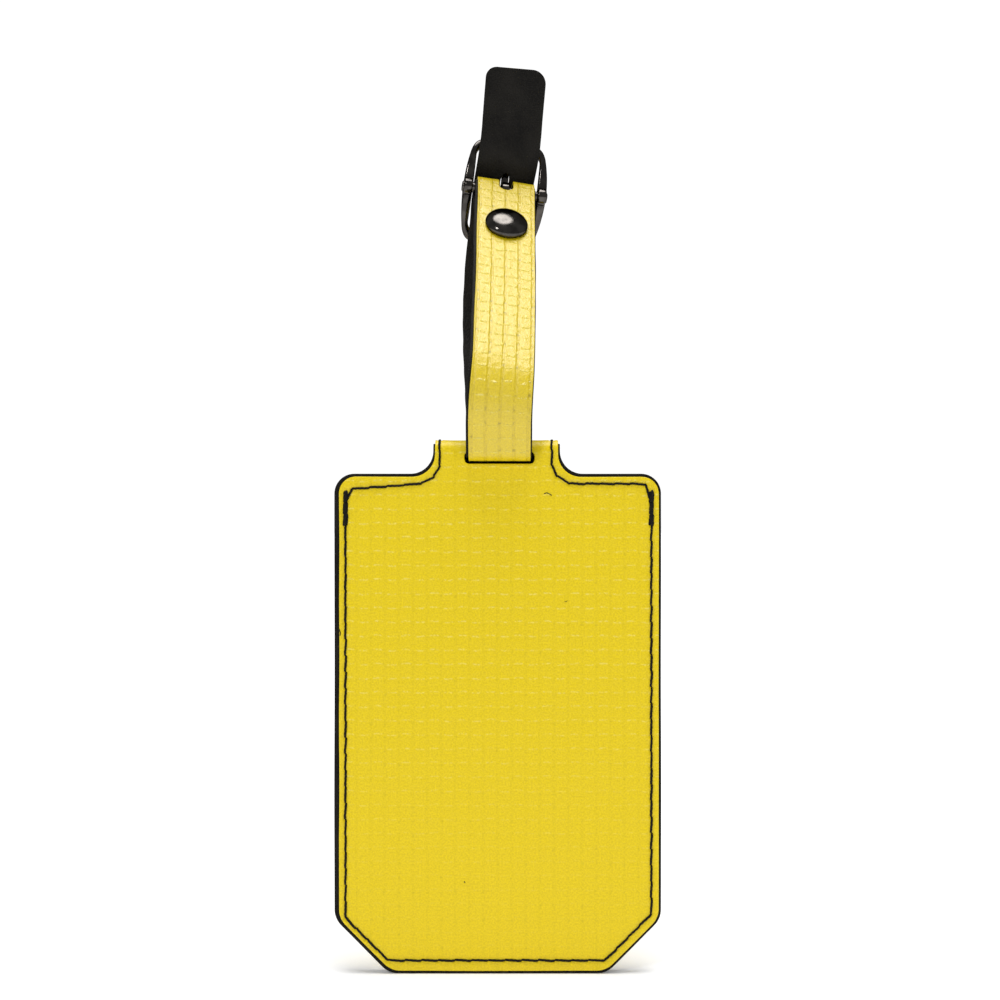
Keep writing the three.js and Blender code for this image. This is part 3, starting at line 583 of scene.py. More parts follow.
def rounded_outline(corners, spacing=0.5):
    """A closed outline through corners (x, y, radius), each rounded by an arc of its radius."""
    points = []
    count = len(corners)
    for i, (x, y, radius) in enumerate(corners):
        corner = Vector((x, y))
        back = (Vector(corners[i - 1][:2]) - corner).normalized()
        ahead = (Vector(corners[(i + 1) % count][:2]) - corner).normalized()
        if radius == 0:
            points.append(tuple(corner))
            continue
        half = math.acos(max(-1.0, min(1.0, back.dot(ahead)))) / 2
        centre = corner + (back + ahead).normalized() * (radius / math.sin(half))
        start = corner + back * (radius / math.tan(half)) - centre
        turn = math.pi - 2 * half
        if back.cross(ahead) > 0:
            turn = -turn
        steps = max(3, math.ceil(abs(turn) * radius / spacing))
        for k in range(steps + 1):
            angle = math.atan2(start.y, start.x) + turn * k / steps
            points.append((centre.x + radius * math.cos(angle), centre.y + radius * math.sin(angle)))
    return points


def between(a, b, k, steps):
    """The point that is k of so many steps from a to b."""
    return (a[0] + (b[0] - a[0]) * k / steps, a[1] + (b[1] - a[1]) * k / steps)


def resampled(loop, spacing, closed=True):
    """The same line with no step longer than spacing."""
    ends = loop[1:] + loop[:1] if closed else loop[1:]
    points = []
    for a, b in zip(loop, ends):
        steps = max(1, math.ceil(math.dist(a, b) / spacing - 1e-6))
        points += [between(a, b, k, steps) for k in range(steps)]
    if not closed:
        points.append(loop[-1])
    return points


def line_distance(points, line, closed=False):
    """Each point's distance to a line of corners."""
    points = np.asarray(points, float)
    start = np.asarray(line, float)
    end = np.roll(start, -1, axis=0)
    if not closed:
        start, end = start[:-1], end[:-1]
    nearest = np.full(len(points), 1e9)
    for a, b in zip(start, end):
        run = b - a
        share = np.clip((points - a) @ run / max(run @ run, 1e-12), 0, 1)
        nearest = np.minimum(nearest, np.linalg.norm(points - a - share[:, None] * run, axis=1))
    return nearest


def inside(points, loop):
    """Whether each point is inside a closed line."""
    points = np.asarray(points, float)
    found = np.zeros(len(points), bool)
    x, y = points[:, 0], points[:, 1]
    for (x0, y0), (x1, y1) in zip(loop, loop[1:] + loop[:1]):
        if y0 == y1:
            continue
        crosses = (y0 > y) != (y1 > y)
        found ^= crosses & (x < x0 + (x1 - x0) * (y - y0) / (y1 - y0))
    return found


def inward_normals(loop, hole):
    """A unit vector into the material at each point of a loop."""
    points = np.asarray(loop, float)
    run = np.roll(points, -1, axis=0) - np.roll(points, 1, axis=0)
    run /= np.linalg.norm(run, axis=1)[:, None]
    x, y = points[:, 0], points[:, 1]
    area = np.sum(x * np.roll(y, -1) - y * np.roll(x, -1))
    side = 1 if (area > 0) != hole else -1
    return np.stack([-run[:, 1], run[:, 0]], axis=1) * side


def thinned(points, kept, gap):
    """The points that are further than gap from each other and from those kept."""
    tree = KDTree(len(kept))
    for i, point in enumerate(kept):
        tree.insert((point[0], point[1], 0), i)
    tree.balance()
    return [p for p in points if tree.find((p[0], p[1], 0))[2] > gap]


def triangulated(loops, seeds):
    """Triangles over the first loop, less the other loops, and each loop's vertices."""
    points = [tuple(p) for loop in loops for p in loop] + [tuple(p) for p in seeds]
    edges = []
    starts = []
    for loop in loops:
        start = starts[-1][1] if starts else 0
        starts.append((start, start + len(loop)))
        edges += [(start + i, start + (i + 1) % len(loop)) for i in range(len(loop))]
    made = delaunay_2d_cdt([Vector(p) for p in points], edges, [], 0, 1e-6)
    flat = np.array([tuple(v) for v in made[0]])
    triangles = made[2]
    place = {source: i for i, group in enumerate(made[3]) for source in group}
    middles = np.array([flat[list(t)].mean(axis=0) for t in triangles])
    kept = inside(middles, loops[0])
    for hole in loops[1:]:
        kept &= ~inside(middles, hole)
    rims = [[place[i] for i in range(a, b)] for a, b in starts]
    return flat, [list(t) for t, k in zip(triangles, kept) if k], rims


def rim_distance(points, loops):
    return np.min([line_distance(points, loop, closed=True) for loop in loops], axis=0)


def mesh_points(loops, second, pitch, features):
    """The points within a sheet: its features, the ring inside each rim, and an even field."""
    low = np.min(loops[0], axis=0)
    high = np.max(loops[0], axis=0)
    columns = np.arange(low[0] + pitch / 2, high[0], pitch)
    rows = np.arange(low[1] + pitch / 2, high[1], pitch)
    field = np.array([(x, y) for y in rows for x in columns])
    field = field[rim_distance(field, loops) > pitch * FIELD_GAP]
    features = [tuple(p) for p in features]
    if features:
        gaps = rim_distance(features, loops)
        features = [p for p, gap in zip(features, gaps) if gap > EDGE_ROUND + RIM_CLEAR]
    kept = features + second
    return kept + thinned([tuple(p) for p in field], kept, pitch * FIELD_GAP)


def band_faces(rims, ring_starts, bottom):
    """The quads round each rim, from the upper face over the rounded edge to the lower face."""
    faces = []
    for rim, starts in zip(rims, ring_starts):
        size = len(rim)
        bands = [rim] + [list(range(s, s + size)) for s in starts] + [[bottom + i for i in rim]]
        for upper, lower in zip(bands, bands[1:]):
            faces += [[upper[i], upper[(i + 1) % size], lower[(i + 1) % size], lower[i]] for i in range(size)]
    return faces


def sheet_mesh(outline, holes, place, thickness, pitch, features=(), relief=None):
    """A sheet cut to an outline, with rounded edges. place(u, v, depth) lays it in space, and relief says
    how far its outer face stands proud. Features are points where the mesh has to be fine."""
    loops = [resampled(loop, OUTLINE_STEP) for loop in (outline, *holes)]
    normals = [inward_normals(loop, i > 0) for i, loop in enumerate(loops)]
    tops = [np.asarray(loop) + normal * EDGE_ROUND for loop, normal in zip(loops, normals)]
    second = []
    for loop, normal in zip(loops, normals):
        second += [tuple(p) for p in np.asarray(loop) + normal * (EDGE_ROUND + SECOND_RING)]
    seeds = mesh_points(loops, second, pitch, features)
    flat, triangles, rims = triangulated([[tuple(p) for p in top] for top in tops], seeds)
    flats = [flat]
    depths = [np.zeros(len(flat))]
    ring_starts = []
    layers = [(a, False) for a in EDGE_ANGLES] + [(a, True) for a in reversed(EDGE_ANGLES)]
    for loop, normal in zip(loops, normals):
        starts = []
        for angle, below in layers:
            turn = math.radians(angle)
            starts.append(sum(len(f) for f in flats))
            flats.append(np.asarray(loop) + normal * EDGE_ROUND * (1 - math.sin(turn)))
            depth = EDGE_ROUND * (1 - math.cos(turn))
            depths.append(np.full(len(loop), thickness - depth if below else depth))
        ring_starts.append(starts)
    bottom = sum(len(f) for f in flats)
    flats.append(flat)
    depths.append(np.full(len(flat), thickness))
    faces = triangles + [[bottom + i for i in reversed(t)] for t in triangles]
    faces += band_faces(rims, ring_starts, bottom)
    uv = np.vstack(flats)
    depth = np.concatenate(depths)
    lift = relief(uv) * (1 - depth / thickness) if relief else 0
    return place(uv[:, 0], uv[:, 1], depth - lift), faces, uv


def waves(points, size, seed):
    """A smooth random height from -1 to 1 over flat points, with waves of about this size."""
    chance = random.Random(seed)
    total = np.zeros(len(points))
    for _ in range(6):
        angle = chance.uniform(0, math.pi)
        length = size * chance.uniform(0.7, 1.6)
        run = points @ np.array([math.cos(angle), math.sin(angle)])
        total += np.sin(2 * math.pi * run / length + chance.uniform(0, 2 * math.pi))
    return total / 6


def wavy(loop, amount, size, seed):
    """A cut edge that wanders a little, as scissors and cutting dies leave it."""
    fine = resampled(loop, OUTLINE_STEP)
    shift = waves(np.asarray(fine), size, seed) * amount
    moved = np.asarray(fine) + inward_normals(fine, False) * shift[:, None]
    return [tuple(p) for p in moved]


# The tag's outlines, in the flat: u across, and v up the front and on over the neck.


def folded_length(radius):
    """A height z on the rear face is at v = folded_length - z."""
    return 2 * FOLD_Z + math.pi * radius


def fillet_spread(z, shoulder):
    """How much wider than the neck the outline is at a height, through the fillet above the shoulder."""
    rise = max(0.0, min(NECK_FILLET, shoulder + NECK_FILLET - z))
    return NECK_FILLET - math.sqrt(NECK_FILLET**2 - rise**2)


def body_corners(edge):
    """The corners (x, z, radius) up a ply's right side from its bottom left, and down its left side."""
    left = -BODY_WIDTH / 2 + edge["left"]
    right = BODY_WIDTH / 2 - edge["right"]
    low = edge["end"]
    shoulder = SHOULDER_Z - edge["end"]
    radius = SHOULDER_RADIUS - edge["end"]
    left_cut = CHAMFER - CHAMFER_INSET * (edge["left"] + edge["end"])
    right_cut = CHAMFER - CHAMFER_INSET * (edge["right"] + edge["end"])
    right_side = [
        (left + left_cut, low, CHAMFER_RADIUS),
        (right - right_cut, low, CHAMFER_RADIUS),
        (right, low + right_cut, CHAMFER_RADIUS),
        (right, shoulder, radius),
    ]
    left_side = [(left, shoulder, radius), (left, low + left_cut, CHAMFER_RADIUS)]
    return right_side, left_side


def neck_sides(edge):
    """Where a ply's neck is on the left and on the right, and the height of its shoulders."""
    left = NECK_X - NECK_WIDTH / 2 + edge["neck"]
    right = NECK_X + NECK_WIDTH / 2 - edge["neck"]
    return left, right, SHOULDER_Z - edge["end"]


def folded_outline(edge, radius):
    """The front panel's outline, over the fold and down the back as far as the crease."""
    right_side, left_side = body_corners(edge)
    neck_left, neck_right, shoulder = neck_sides(edge)
    foot = CREASE_Z + CREASE_GAP / 2
    heights = np.linspace(shoulder + NECK_FILLET, foot, 8)
    flare = [(fillet_spread(z, shoulder), folded_length(radius) - z) for z in heights]
    right_end = [(neck_right + spread, v, 0) for spread, v in flare]
    left_end = [(neck_left - spread, v, 0) for spread, v in reversed(flare)]
    right_neck = [(neck_right, shoulder, NECK_FILLET)]
    left_neck = [(neck_left, shoulder, NECK_FILLET)]
    return rounded_outline(right_side + right_neck + right_end + left_end + left_neck + left_side)


def cover_outline(edge):
    """The cover's outline, up to the crease, where it meets the front panel's end."""
    right_side, left_side = body_corners(edge)
    neck_left, neck_right, shoulder = neck_sides(edge)
    top = CREASE_Z + CREASE_GAP / 2
    full = rounded_outline(
        right_side
        + [(neck_right, shoulder, NECK_FILLET), (neck_right, FOLD_Z + NECK_FILLET, 0)]
        + [(neck_left, FOLD_Z + NECK_FILLET, 0), (neck_left, shoulder, NECK_FILLET)]
        + left_side
    )
    below = [p for p in full if p[1] < top - 0.05]
    spread = fillet_spread(top, shoulder)
    middle = next(i for i, (a, b) in enumerate(zip(below, below[1:])) if a[0] - b[0] > NECK_WIDTH * 0.8)
    ends = [(neck_right + spread, top), (neck_left - spread, top)]
    return below[: middle + 1] + ends + below[middle + 1 :]


def slot_holes(radius):
    """The strap's slot: full size through the front, and close round the strap through the back."""
    half = SLOT_WIDTH / 2
    front = slot_corners(STRAP_X - half, STRAP_X + half, SLOT_LOW)
    half = STRAP_HALF + REAR_SLOT_GAP
    corners = slot_corners(STRAP_X - half, STRAP_X + half, REAR_SLOT_LOW)
    back = [(x, folded_length(radius) - z, r) for x, z, r in corners]
    return [rounded_outline(front), rounded_outline(back)]


def slot_corners(x0, x1, low):
    return [(x, z, SLOT_ROUND) for x, z in ((x0, low), (x1, low), (x1, SLOT_HIGH), (x0, SLOT_HIGH))]


def over_fold(radius):
    """Lays a ply up the front, over the neck's fold and down the back. Depth runs in from its outer face."""

    def place(u, v, depth):
        reach = radius - depth
        angle = np.clip((v - FOLD_Z) / radius, 0, math.pi)
        past = np.maximum(v - FOLD_Z - math.pi * radius, 0)
        y = -reach * np.cos(angle)
        z = np.minimum(v, FOLD_Z) + reach * np.sin(angle) - past
        return np.stack([u * np.ones_like(z), y, z], axis=1)

    return place


def on_back(face):
    """Lays a flat sheet upright with its outer face looking backwards, at y = face."""

    def place(u, v, depth):
        return np.stack([u, face - depth, v], axis=1)

    return place


# Sewing lines, in the flat.


def pocket_line():
    s = SEAM
    return [
        (s["left"], SEAM_TOP),
        (s["left"], s["low"] + s["leg_left"]),
        (s["left"] + s["leg_left"], s["low"]),
        (s["right"] - s["leg_right"], s["low"]),
        (s["right"], s["low"] + s["leg_right"]),
        (s["right"], SEAM_TOP),
    ]


def seam_end(radius):
    """Where the neck's seams end on a ply, just short of the crease."""
    return folded_length(radius) - CREASE_Z - CREASE_GAP


def shoulder_line(side, top):
    name = "left" if side < 0 else "right"
    shoulder_x = SEAM[name]
    neck_x = NECK_SEAM[name]
    return [
        (shoulder_x, BARTACK_TOP - SHOULDER_SEAM_FOOT),
        (shoulder_x - side * 1.4, SHOULDER_SEAM_Z - SHOULDER_SEAM_DROP[name]),
        (neck_x + side * 4, SHOULDER_SEAM_Z),
        (neck_x + side * 1.2, SHOULDER_SEAM_Z + 1.6),
        (neck_x, SHOULDER_SEAM_Z + 4),
        (neck_x, top),
    ]


def cover_line():
    top = CREASE_Z - CREASE_GAP
    left = shoulder_line(-1, top)[::-1]
    right = shoulder_line(1, top)
    return left[:-1] + pocket_line()[1:-1] + right[1:]


def bartack_line(side):
    x = SEAM["left"] if side < 0 else SEAM["right"]
    return [(x, SEAM_TOP), (x, BARTACK_TOP)]


def needle_holes(line, stitch=STITCH):
    """Holes along a sewing line, with one at each of its corners."""
    holes = [line[0]]
    for a, b in zip(line, line[1:]):
        steps = max(1, round(math.dist(a, b) / stitch))
        holes += [between(a, b, k, steps) for k in range(1, steps + 1)]
    return holes


def beside(line, offsets, step):
    """Points in rows beside a sewing line, so that the mesh can show how the thread pulls the sheet in."""
    rows = []
    fine = resampled(line, step, closed=False)
    points = np.asarray(fine)
    run = np.gradient(points, axis=0)
    run /= np.linalg.norm(run, axis=1)[:, None]
    side = np.stack([-run[:, 1], run[:, 0]], axis=1)
    for offset in offsets:
        rows += [tuple(p) for p in points + side * offset]
    return rows


def spread_out(points, gap):
    """The points with those left out that are nearer than gap to an earlier one."""
    kept = {}
    for p in points:
        column = math.floor(p[0] / gap)
        row = math.floor(p[1] / gap)
        around = [(column + dx, row + dy) for dx in (-1, 0, 1) for dy in (-1, 0, 1)]
        if all(math.dist(p, kept[cell]) >= gap for cell in around if cell in kept):
            kept[(column, row)] = p
    return list(kept.values())


def sewn_relief(lines, holes):
    """How thread pulls a sheet in along its seams, and raises it beside each needle hole."""
    tree = KDTree(len(holes))
    for i, hole in enumerate(holes):
        tree.insert((hole[0], hole[1], 0), i)
    tree.balance()

    def relief(points):
        gap = np.min([line_distance(points, line) for line in lines], axis=0)
        hole = np.full(len(points), 9.0)
        for i in np.flatnonzero(gap < SEAM_REACH):
            hole[i] = tree.find((points[i][0], points[i][1], 0))[2]
        pulled = -GROOVE_DEPTH * np.exp(-((gap / GROOVE_HALF) ** 2))
        pulled -= DIMPLE_DEPTH * np.exp(-((hole / DIMPLE_RADIUS) ** 2))
        raised = PUCKER_HEIGHT * np.exp(-(((hole - PUCKER_RADIUS) / PUCKER_WIDTH) ** 2))
        return pulled + raised + SHEET_WAVE * waves(points, SHEET_WAVE_LENGTH, 3) * np.clip(gap / 4, 0, 1)

    return relief


def thread(centres, above, radius):
    """A sewn thread along centres. above is a point over each centre."""
    return tube(centres, above - centres, radius, sides=THREAD_SIDES, plies=THREAD_PLIES, twist=THREAD_TWIST)


def stitches(holes, place, seed, depth=0.0, side=1, radius=THREAD_RADIUS, proud=0.05, slant=0.08):
    """A row of lockstitches from hole to hole on a sheet's face. depth is the face's depth in its ply, and
    side is -1 where the thread lies on the inner face."""
    chance = random.Random(seed)
    parts = []
    for a, b in zip(holes, holes[1:]):
        length = math.dist(a, b)
        across = np.array([-(b[1] - a[1]), b[0] - a[0]]) / length
        steps = max(8, round(length / 0.17))
        t = np.linspace(0, 1, steps + 1)
        lean = slant * (1 + chance.uniform(-0.6, 0.6))
        sway = lean * np.cos(math.pi * t) + chance.uniform(-0.04, 0.04) * np.sin(math.pi * t)
        flat = np.outer(1 - t, a) + np.outer(t, b) + sway[:, None] * across
        height = proud + 0.02 * chance.uniform(-1, 1) - 0.42 * np.abs(2 * t - 1) ** 7
        centres = place(flat[:, 0], flat[:, 1], depth - side * height)
        above = place(flat[:, 0], flat[:, 1], depth - side * (height + 1))
        thick = radius * (1 + chance.uniform(-0.07, 0.07)) * (1 - 0.3 * np.abs(2 * t - 1) ** 9)
        parts.append(thread(centres, above, thick))
    return parts


# The strap's course, as in the CAD model.


def turn_about(axis, degrees):
    return Quaternion(axis, math.radians(degrees))


UPPER_TWIST = turn_about((0, 1, 0), STRAP_ROLL) @ turn_about((0, 0, 1), STRAP_YAW)
TAIL_TWIST = turn_about((0, 1, 0), TAIL_ROLL) @ turn_about((0, 0, 1), STRAP_YAW)


class StrapLine:
    """Follows the strap's middle line in side view, where heading 0 runs back and 90 runs up. outer_side
    is the turn from the heading to the strap's outer face."""

    def __init__(self, start, heading, outer_side):
        self.position = start.copy()
        self.heading = heading
        self.outer_side = outer_side
        self.twist = Quaternion()
        self.stations = []
        self.mark()

    def direction(self, degrees):
        angle = math.radians(degrees)
        return self.twist @ Vector((0, math.cos(angle), math.sin(angle)))

    def mark(self):
        across = self.twist @ Vector((1, 0, 0))
        outward = self.direction(self.heading + self.outer_side)
        self.stations.append((self.position.copy(), across, outward))

    def straight(self, length, steps=1):
        for _ in range(steps):
            self.position += self.direction(self.heading) * (length / steps)
            self.mark()
        return self

    def bend(self, radius, degrees, steps, twist_to=None):
        start = self.twist.copy()
        step = degrees / steps
        chord = 2 * radius * math.sin(math.radians(abs(step)) / 2)
        for i in range(1, steps + 1):
            if twist_to is not None:
                self.twist = start.slerp(twist_to, i / steps)
            self.position += self.direction(self.heading + step / 2) * chord
            self.heading += step
            self.mark()
        return self

    def ease_to(self, end, end_heading, twist_to, steps):
        first_twist = self.twist.copy()
        start = self.position.copy()
        leave = self.direction(self.heading)
        self.twist = twist_to.copy()
        arrive = self.direction(end_heading)
        pull = (end - start).length * EASE_PULL
        p = [start, start + leave * pull, end - arrive * pull, end]
        for i in range(1, steps + 1):
            t = i / steps
            s = 1 - t
            self.twist = first_twist.slerp(twist_to, t)
            slope = (p[1] - p[0]) * s * s + (p[2] - p[1]) * 2 * s * t + (p[3] - p[2]) * t * t
            run = self.twist.inverted() @ slope
            self.heading = math.degrees(math.atan2(run.z, run.y))
            self.position = p[0] * s**3 + p[1] * 3 * s * s * t + p[2] * 3 * s * t * t + p[3] * t**3
            self.mark()
        return self


front_line = StrapLine(SLOT_MIDDLE, 180, 90)
front_line.straight(SLOT_RUN).bend(SLOT_BEND, -FRONT_RISE, 5).straight(BULGE_RUN, 2)
front_line.bend(CREASE_RADIUS, -CREASE_TURN, 7, UPPER_TWIST).bend(UPPER_CURVE, -UPPER_TURN, 3)
front_line.straight(UPPER_RUN, 2)
STRAND_HEADING = front_line.heading
BAR_CENTRE = front_line.position + front_line.direction(STRAND_HEADING - 90) * WRAP_RADIUS
at_bar = len(front_line.stations) - 1
closing_angle = math.radians(WRAP_OVER)
CLOSED_PITCH = CLEARANCE - 2 * LINING_INNER
bends_drop = (WRAP_RADIUS + CLOSING_RADIUS) * (1 - math.cos(closing_angle))
closing_gap = 2 * WRAP_RADIUS - CLOSED_PITCH - bends_drop
front_line.bend(WRAP_RADIUS, -180 - WRAP_OVER, 12)
past_bar = len(front_line.stations) - 1
front_line.straight(closing_gap / math.sin(closing_angle)).bend(CLOSING_RADIUS, WRAP_OVER, 2)
front_line.straight(RIVET_RUN)

BUCKLE_TURN = UPPER_TWIST @ turn_about((1, 0, 0), -BUCKLE_LEAN)
STRAND_TURN = UPPER_TWIST @ turn_about((1, 0, 0), STRAND_HEADING)


def in_buckle(x, y, z):
    return BUCKLE_TURN @ Vector((x, y, z)) + BAR_CENTRE


def on_strand(along, out):
    return STRAND_TURN @ Vector((0, -along, WRAP_RADIUS + out)) + BAR_CENTRE


end_bar_z = FRAME_HALF_LENGTH - END_BAR / 2
end_bar_face = FRAME_BOW * (end_bar_z / FRAME_HALF_LENGTH) ** 2 - FRAME_THICKNESS / 2
tail_at_ends = end_bar_face - TAIL_ROOM - TARP_OUTER
tail_at_bar = WRAP_RADIUS + TARP_OUTER + CLEARANCE - LINING_INNER
weave_angle = 2 * math.atan2((tail_at_bar - tail_at_ends) / 2, end_bar_z / 2)
weave_turn = math.degrees(weave_angle)
weave_radius = end_bar_z / 2 / math.sin(weave_angle)
back_line = StrapLine(SLOT_MIDDLE, 0, -90)
back_line.straight(SLOT_RUN).bend(SLOT_BEND, BACK_RISE, 3)
back_line.ease_to(in_buckle(0, tail_at_ends, -end_bar_z), 90 - BUCKLE_LEAN, UPPER_TWIST, 9)
back_line.bend(weave_radius, -weave_turn, 2).bend(weave_radius, weave_turn, 2)
bar_crossing = len(back_line.stations) - 1
back_line.bend(weave_radius, weave_turn, 2).bend(weave_radius, -weave_turn, 2)
back_line.bend(TAIL_BEND, TAIL_LIFT, 2, TAIL_TWIST).straight(TAIL_RUN).straight(TIP_RADIUS)


class Course:
    """The strap's middle line, smoothed through the stations, with how far along the strap each place is."""

    def __init__(self, stations, fine=0.25):
        position = []
        across = []
        outward = []
        starts = [0]
        for (p0, x0, o0), (p1, x1, o1) in zip(stations, stations[1:]):
            chord = (p1 - p0).length
            t0 = x0.cross(o0) * chord
            t1 = x1.cross(o1) * chord
            steps = max(2, math.ceil(chord / fine))
            for k in range(steps):
                t = k / steps
                a = 2 * t**3 - 3 * t**2 + 1
                b = t**3 - 2 * t**2 + t
                c = -2 * t**3 + 3 * t**2
                d = t**3 - t**2
                position.append(p0 * a + t0 * b + p1 * c + t1 * d)
                across.append(x0.lerp(x1, t).normalized())
                outward.append(o0.lerp(o1, t).normalized())
            starts.append(len(position))
        for values, last in zip((position, across, outward), stations[-1]):
            values.append(last)
        self.position = np.array(position)
        self.across = np.array(across)
        self.outward = np.array(outward)
        steps = np.linalg.norm(np.diff(self.position, axis=0), axis=1)
        self.along = np.concatenate([[0], np.cumsum(steps)])
        self.marks = [self.along[i] for i in starts]
        self.length = self.along[-1]

    def place(self, layer):
        """Lays a ply along the strap, with its outer face this far out from the middle line."""

        def place(u, v, depth):
            at = [
                np.stack([np.interp(v, self.along, values[:, i]) for i in range(3)], axis=1)
                for values in (self.position, self.across, self.outward)
            ]
            return at[0] + at[1] * np.asarray(u)[:, None] + at[2] * (layer - depth)[:, None]

        return place

    def nearest(self, point, low, high):
        """How far along the strap, between two marks, the course passes a point."""
        inside_part = (self.along >= low) & (self.along <= high)
        gaps = np.linalg.norm(self.position - np.array(point), axis=1)
        gaps[~inside_part] = 1e9
        return self.along[int(np.argmin(gaps))]


front_count = len(front_line.stations)
course = Course(front_line.stations[:0:-1] + back_line.stations)
V_PAST_BAR = course.marks[front_count - 1 - past_bar]
V_AT_BAR = course.marks[front_count - 1 - at_bar]
V_SLOT = course.marks[front_count - 1]
V_CROSSING = course.marks[front_count - 1 + bar_crossing]


def ellipse(u, v, wide, tall, steps=28):
    angles = [2 * math.pi * k / steps for k in range(steps)]
    return [(u + wide * math.cos(a), v + tall * math.sin(a)) for a in angles]


def strap_holes():
    """The prong's notch at the bar, the rivet's two holes, the three spare holes and the prong's own."""
    half = NOTCH_WIDTH / 2
    start = V_PAST_BAR - half
    end = V_AT_BAR + NOTCH_RUN
    corners = [(-half, start, 1.2), (half, start, 1.2), (half, end, 1.55), (-half, end, 1.55)]
    notch = rounded_outline(corners, spacing=0.25)
    rivet = RIVET_POST_RADIUS * 1.1
    front = course.nearest(on_strand(RIVET_FROM_BAR, 0), V_AT_BAR, V_SLOT)
    folded = course.nearest(on_strand(RIVET_FROM_BAR, -CLOSED_PITCH), 0, V_PAST_BAR)
    prong_at = course.nearest(in_buckle(0, tail_at_bar, PRONG_HOLE_Z), V_CROSSING, course.length)
    spare = [V_CROSSING - HOLE_PITCH * i + PRONG_HOLE_Z for i in range(1, SPARE_HOLES + 1)]
    tall = HOLE_RADIUS * HOLE_STRETCH
    holes = [ellipse(0, v, HOLE_RADIUS, tall) for v in spare]
    holes.append(ellipse(0, prong_at, PRONG_WIDTH / 2 + PRONG_HOLE_GAP, tall - PRONG_HOLE_GAP))
    return [notch, ellipse(0, front, rivet, rivet), ellipse(0, folded, rivet, rivet), *holes]


def strap_outline(left, right, seed):
    """The strap in the flat. Its tip's corners are rounded, the right one more than the left."""
    corners = [
        (-left, 0, 0.4),
        (right, 0, 0.4),
        (right, course.length, TIP_RADIUS + 0.5),
        (-left, course.length, TIP_RADIUS - 0.3),
    ]
    return wavy(rounded_outline(corners), 0.07, 16, seed)


# Soft pieces.


def front_pieces():
    top = seam_end(FOLD_RADIUS)
    lines = [pocket_line(), shoulder_line(-1, top), shoulder_line(1, top)]
    holes = [hole for line in lines for hole in needle_holes(line)]
    tacks = [bartack_line(-1), bartack_line(1)]
    fine = spread_out([p for line in lines + tacks for p in beside(line, SEAM_ROWS, SEAM_STEP)], SEAM_GAP)
    outline = wavy(folded_outline(TARP_EDGE, FOLD_RADIUS), 0.1, 22, 11)
    place = over_fold(FOLD_RADIUS)
    relief = sewn_relief(lines + tacks, holes)
    made = sheet_mesh(outline, slot_holes(FOLD_RADIUS), place, TARP, PANEL_MESH, fine, relief)
    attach(make_piece("front_panel_tarpaulin", "tarpaulin", *made, nodes=["front_panel"]), "tag")
    lining_outline = wavy(folded_outline(LINING_EDGE, LINING_FACE), 0.06, 30, 12)
    made = sheet_mesh(lining_outline, slot_holes(LINING_FACE), over_fold(LINING_FACE), LINING, LINING_MESH)
    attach(make_piece("front_panel_lining", "lining", *made, nodes=["front_lining"]), "tag")


def cover_pieces():
    line = cover_line()
    holes = needle_holes(line)
    fine = spread_out(beside(line, SEAM_ROWS, SEAM_STEP), SEAM_GAP)
    across = np.arange(-HINGE_HALF, HINGE_HALF, HINGE_POINT_GAP)
    hinge_rows = [(x, CREASE_Z - k * HINGE_ROW_GAP) for k in range(HINGE_ROWS) for x in across]
    outline = wavy(cover_outline(COVER_EDGE), 0.1, 22, 13)
    relief = sewn_relief([line], holes)
    features = spread_out(fine + hinge_rows, 0.25)
    made = sheet_mesh(outline, [], on_back(FOLD_RADIUS), TARP, PANEL_MESH, features, relief)
    panel = make_piece("cover_tarpaulin", "tarpaulin", *made, nodes=["cover_panel"])
    outline = cover_outline(COVER_LINING_EDGE)
    made = sheet_mesh(outline, [], on_back(LINING_FACE), LINING, LINING_MESH, hinge_rows)
    lining = make_piece("cover_lining_sheet", "lining", *made, nodes=["cover_lining"])
    parts = stitches(holes, on_back(FOLD_RADIUS), 23)
    parts += stitches(holes, on_back(LINING_FACE), 24, depth=LINING, side=-1, proud=0.0)
    seam = make_piece("cover_stitches", "thread", *joined(parts), nodes=["cover_seam"])
    hinge_top = in_frame([0, FOLD_RADIUS, CREASE_Z + CREASE_GAP / 2])
    hinge_low = in_frame([0, FOLD_RADIUS, CREASE_Z + CREASE_GAP / 2 - HINGE_RUN])
    for piece in (panel, lining, seam):
        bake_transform(piece)


def front_stitches():
    place = over_fold(FOLD_RADIUS)
    rim = over_fold(INNER_FACE - PLY_GAP)
    holes = needle_holes(pocket_line())
    parts = stitches(holes, place, 31)
    parts += stitches(holes, rim, 32, depth=CLEAR_SHEET, side=-1, proud=0.0)
    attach(make_piece("pocket_stitches", "thread", *joined(parts), nodes=["pocket_seam"]), "tag")
    for side, name in ((-1, "left"), (1, "right")):
        outer = needle_holes(shoulder_line(side, seam_end(FOLD_RADIUS)))
        inner = needle_holes(shoulder_line(side, seam_end(LINING_FACE)))
        parts = stitches(outer, place, 33 + side)
        parts += stitches(inner, over_fold(LINING_FACE), 36 + side, depth=LINING, side=-1, proud=0.0)
        nodes = [f"shoulder_seam_{name}"]
        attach(make_piece(f"shoulder_stitches_{name}", "thread", *joined(parts), nodes=nodes), "tag")
        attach(bartack(side, name, place), "tag")


